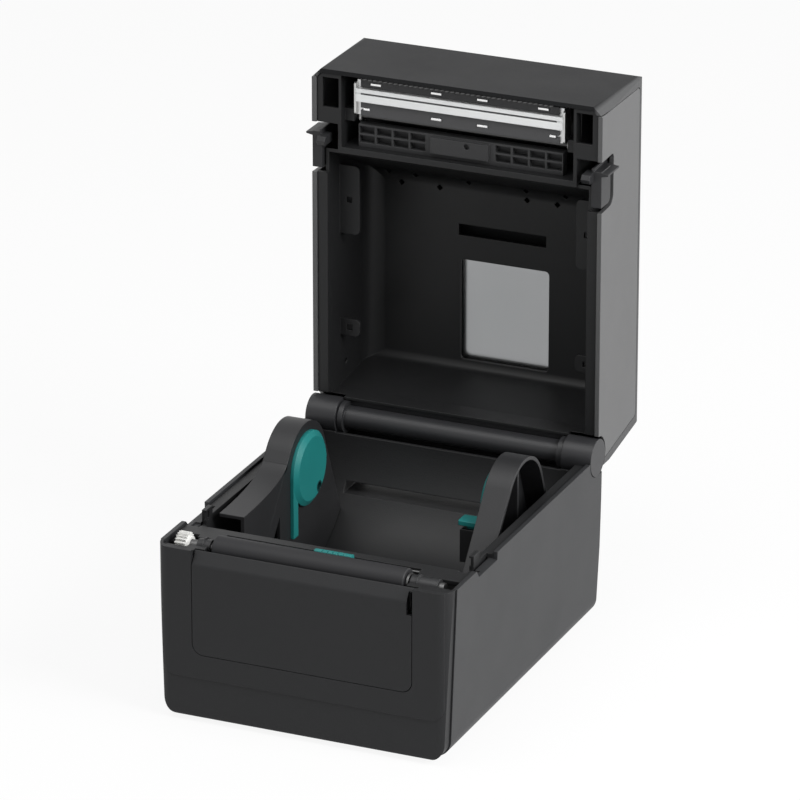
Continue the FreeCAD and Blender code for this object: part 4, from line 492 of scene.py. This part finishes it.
front_low, front_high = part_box("head_front_cover")
rear_low, rear_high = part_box("head_rear_cover")
tongue_y = front_low[1] - tongue_proud + tongue_thick / 2
front_row = front_high[2] - slot_drop
rear_row = (rear_low[2] + rear_high[2]) / 2
whole = (tongue_half, tongue_thick / 2, tongue_height / 2)
short = (rear_end_half, tongue_thick / 2, tongue_height / 2)
tongues = [((x, tongue_y, front_row), whole) for x in (-slot_end, -slot_inner, slot_inner, slot_end)]
tongues += [((x, tongue_y, rear_row), whole) for x in (-slot_inner, slot_inner)]
tongues += [((x, tongue_y, rear_row), short) for x in (-rear_end, rear_end)]
clamp = block_piece("clamp_tongues", tongues)
clamp.data.materials.append(drawn_metal("TongueSteel", (0.85, 0.85, 0.85), rough=0.22))
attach(clamp, "head")

# Tear bar: the toothed edge against which a label is torn off.
# It is a strip of blackened spring steel, fixed along the lid's front edge.

dress(black_steel, "tear_bar")

# Latch: two levers with finger ridges that hold the lid shut.
# They are moulded in dark plastic and fixed to one steel cross shaft.

latch_grey = (0.018, 0.0182, 0.0195)
dress(moulded("LatchPlastic", latch_grey, rough=0.45, specular=0.3), "latch_lever_left", "latch_lever_right")
dress(zinc, "latch_shaft")

# Floor, world and lamps: a plain white studio with a matt floor.
# Its strongest lamp is on the right, with a weak one overhead and one behind on the right.

floor_reach = 12.0
floor_corners = np.array([(-1, -1, 0), (1, -1, 0), (1, 1, 0), (-1, 1, 0)]) * floor_reach
floor = new_piece("Floor", floor_corners, [(0, 1, 2, 3)])


def seen(shade):
    """One for rays that show the background: from the camera, off gloss and through the window."""
    path = shade.tree.nodes.new("ShaderNodeLightPath")
    camera, glossy, through = (Shade(shade.tree, path.outputs[name])
                               for name in ("Is Camera Ray", "Is Glossy Ray", "Is Transmission Ray"))
    return shade.math("MINIMUM", camera + glossy + through, 1.0)


floor_grey = (0.8, 0.8, 0.8, 1.0)
floor_glow = 0.9
floor_material, floor_shade, floor_surface = new_material("FloorWhite")
set_surface(floor_shade, floor_surface, {"Base Color": floor_grey, "Roughness": 1.0,
                                         "Specular IOR Level": 0.0}, {})
white = floor_shade.node("Emission", links={"Strength": 1.0})
mixed = floor_shade.node("MixShader", links={0: seen(floor_shade) * floor_glow,
                                             1: Shade(floor_shade.tree, floor_surface.outputs[0]), 2: white})
floor_shade.tree.links.new(mixed.socket, floor_shade.tree.nodes["Material Output"].inputs["Surface"])
floor.data.materials.append(floor_material)

ambient = 0.35
world = bpy.data.worlds.new("Studio")
bpy.context.scene.world = world
world.use_nodes = True
world_shade = Shade(world.node_tree)
background = world.node_tree.nodes["Background"]
background.inputs["Color"].default_value = (1.0, 1.0, 1.0, 1.0)
glow = seen(world_shade) * (1 - ambient) + ambient
world_shade.tree.links.new(glow.socket, background.inputs["Strength"])
lamp_aim = Vector((0.0, 0.0, 0.15))


def softbox(name, place, size, power):
    """A square lamp at a place, turned to face the printer."""
    data = bpy.data.lights.new(name, "AREA")
    data.size = size
    data.energy = power
    lamp = bpy.data.objects.new(name, data)
    lamp.location = place
    lamp.rotation_euler = (lamp_aim - Vector(place)).to_track_quat("-Z", "Y").to_euler()
    bpy.context.scene.collection.objects.link(lamp)


softbox("KeyRight", (1.6, -0.3, 1.1), size=1.0, power=40.0)
softbox("TopFill", (-0.3, -0.6, 1.8), size=1.2, power=14.0)
softbox("RearFill", (1.3, 1.6, 0.5), size=0.8, power=8.0)
bpy.context.scene.view_settings.view_transform = "Standard"

# Camera: the photograph's view, from the front right and above.
# Its long lens keeps the printer's edges nearly parallel.

camera_azimuth = math.radians(23.557)
camera_height = math.radians(21.937)
camera_distance = 3.32035
camera_aim = Vector((0.012947, -0.035, 0.159826))
line_of_sight = Vector((-math.sin(camera_azimuth) * math.cos(camera_height),
                        math.cos(camera_azimuth) * math.cos(camera_height), -math.sin(camera_height)))
camera_data = bpy.data.cameras.new("Camera")
camera_data.lens = 281.68
camera_data.sensor_width = 36.0
camera_data.clip_end = 50.0
camera = bpy.data.objects.new("Camera", camera_data)
camera.location = camera_aim - line_of_sight * camera_distance
camera.rotation_euler = line_of_sight.to_track_quat("-Z", "Y").to_euler()
bpy.context.scene.collection.objects.link(camera)
bpy.context.scene.camera = camera
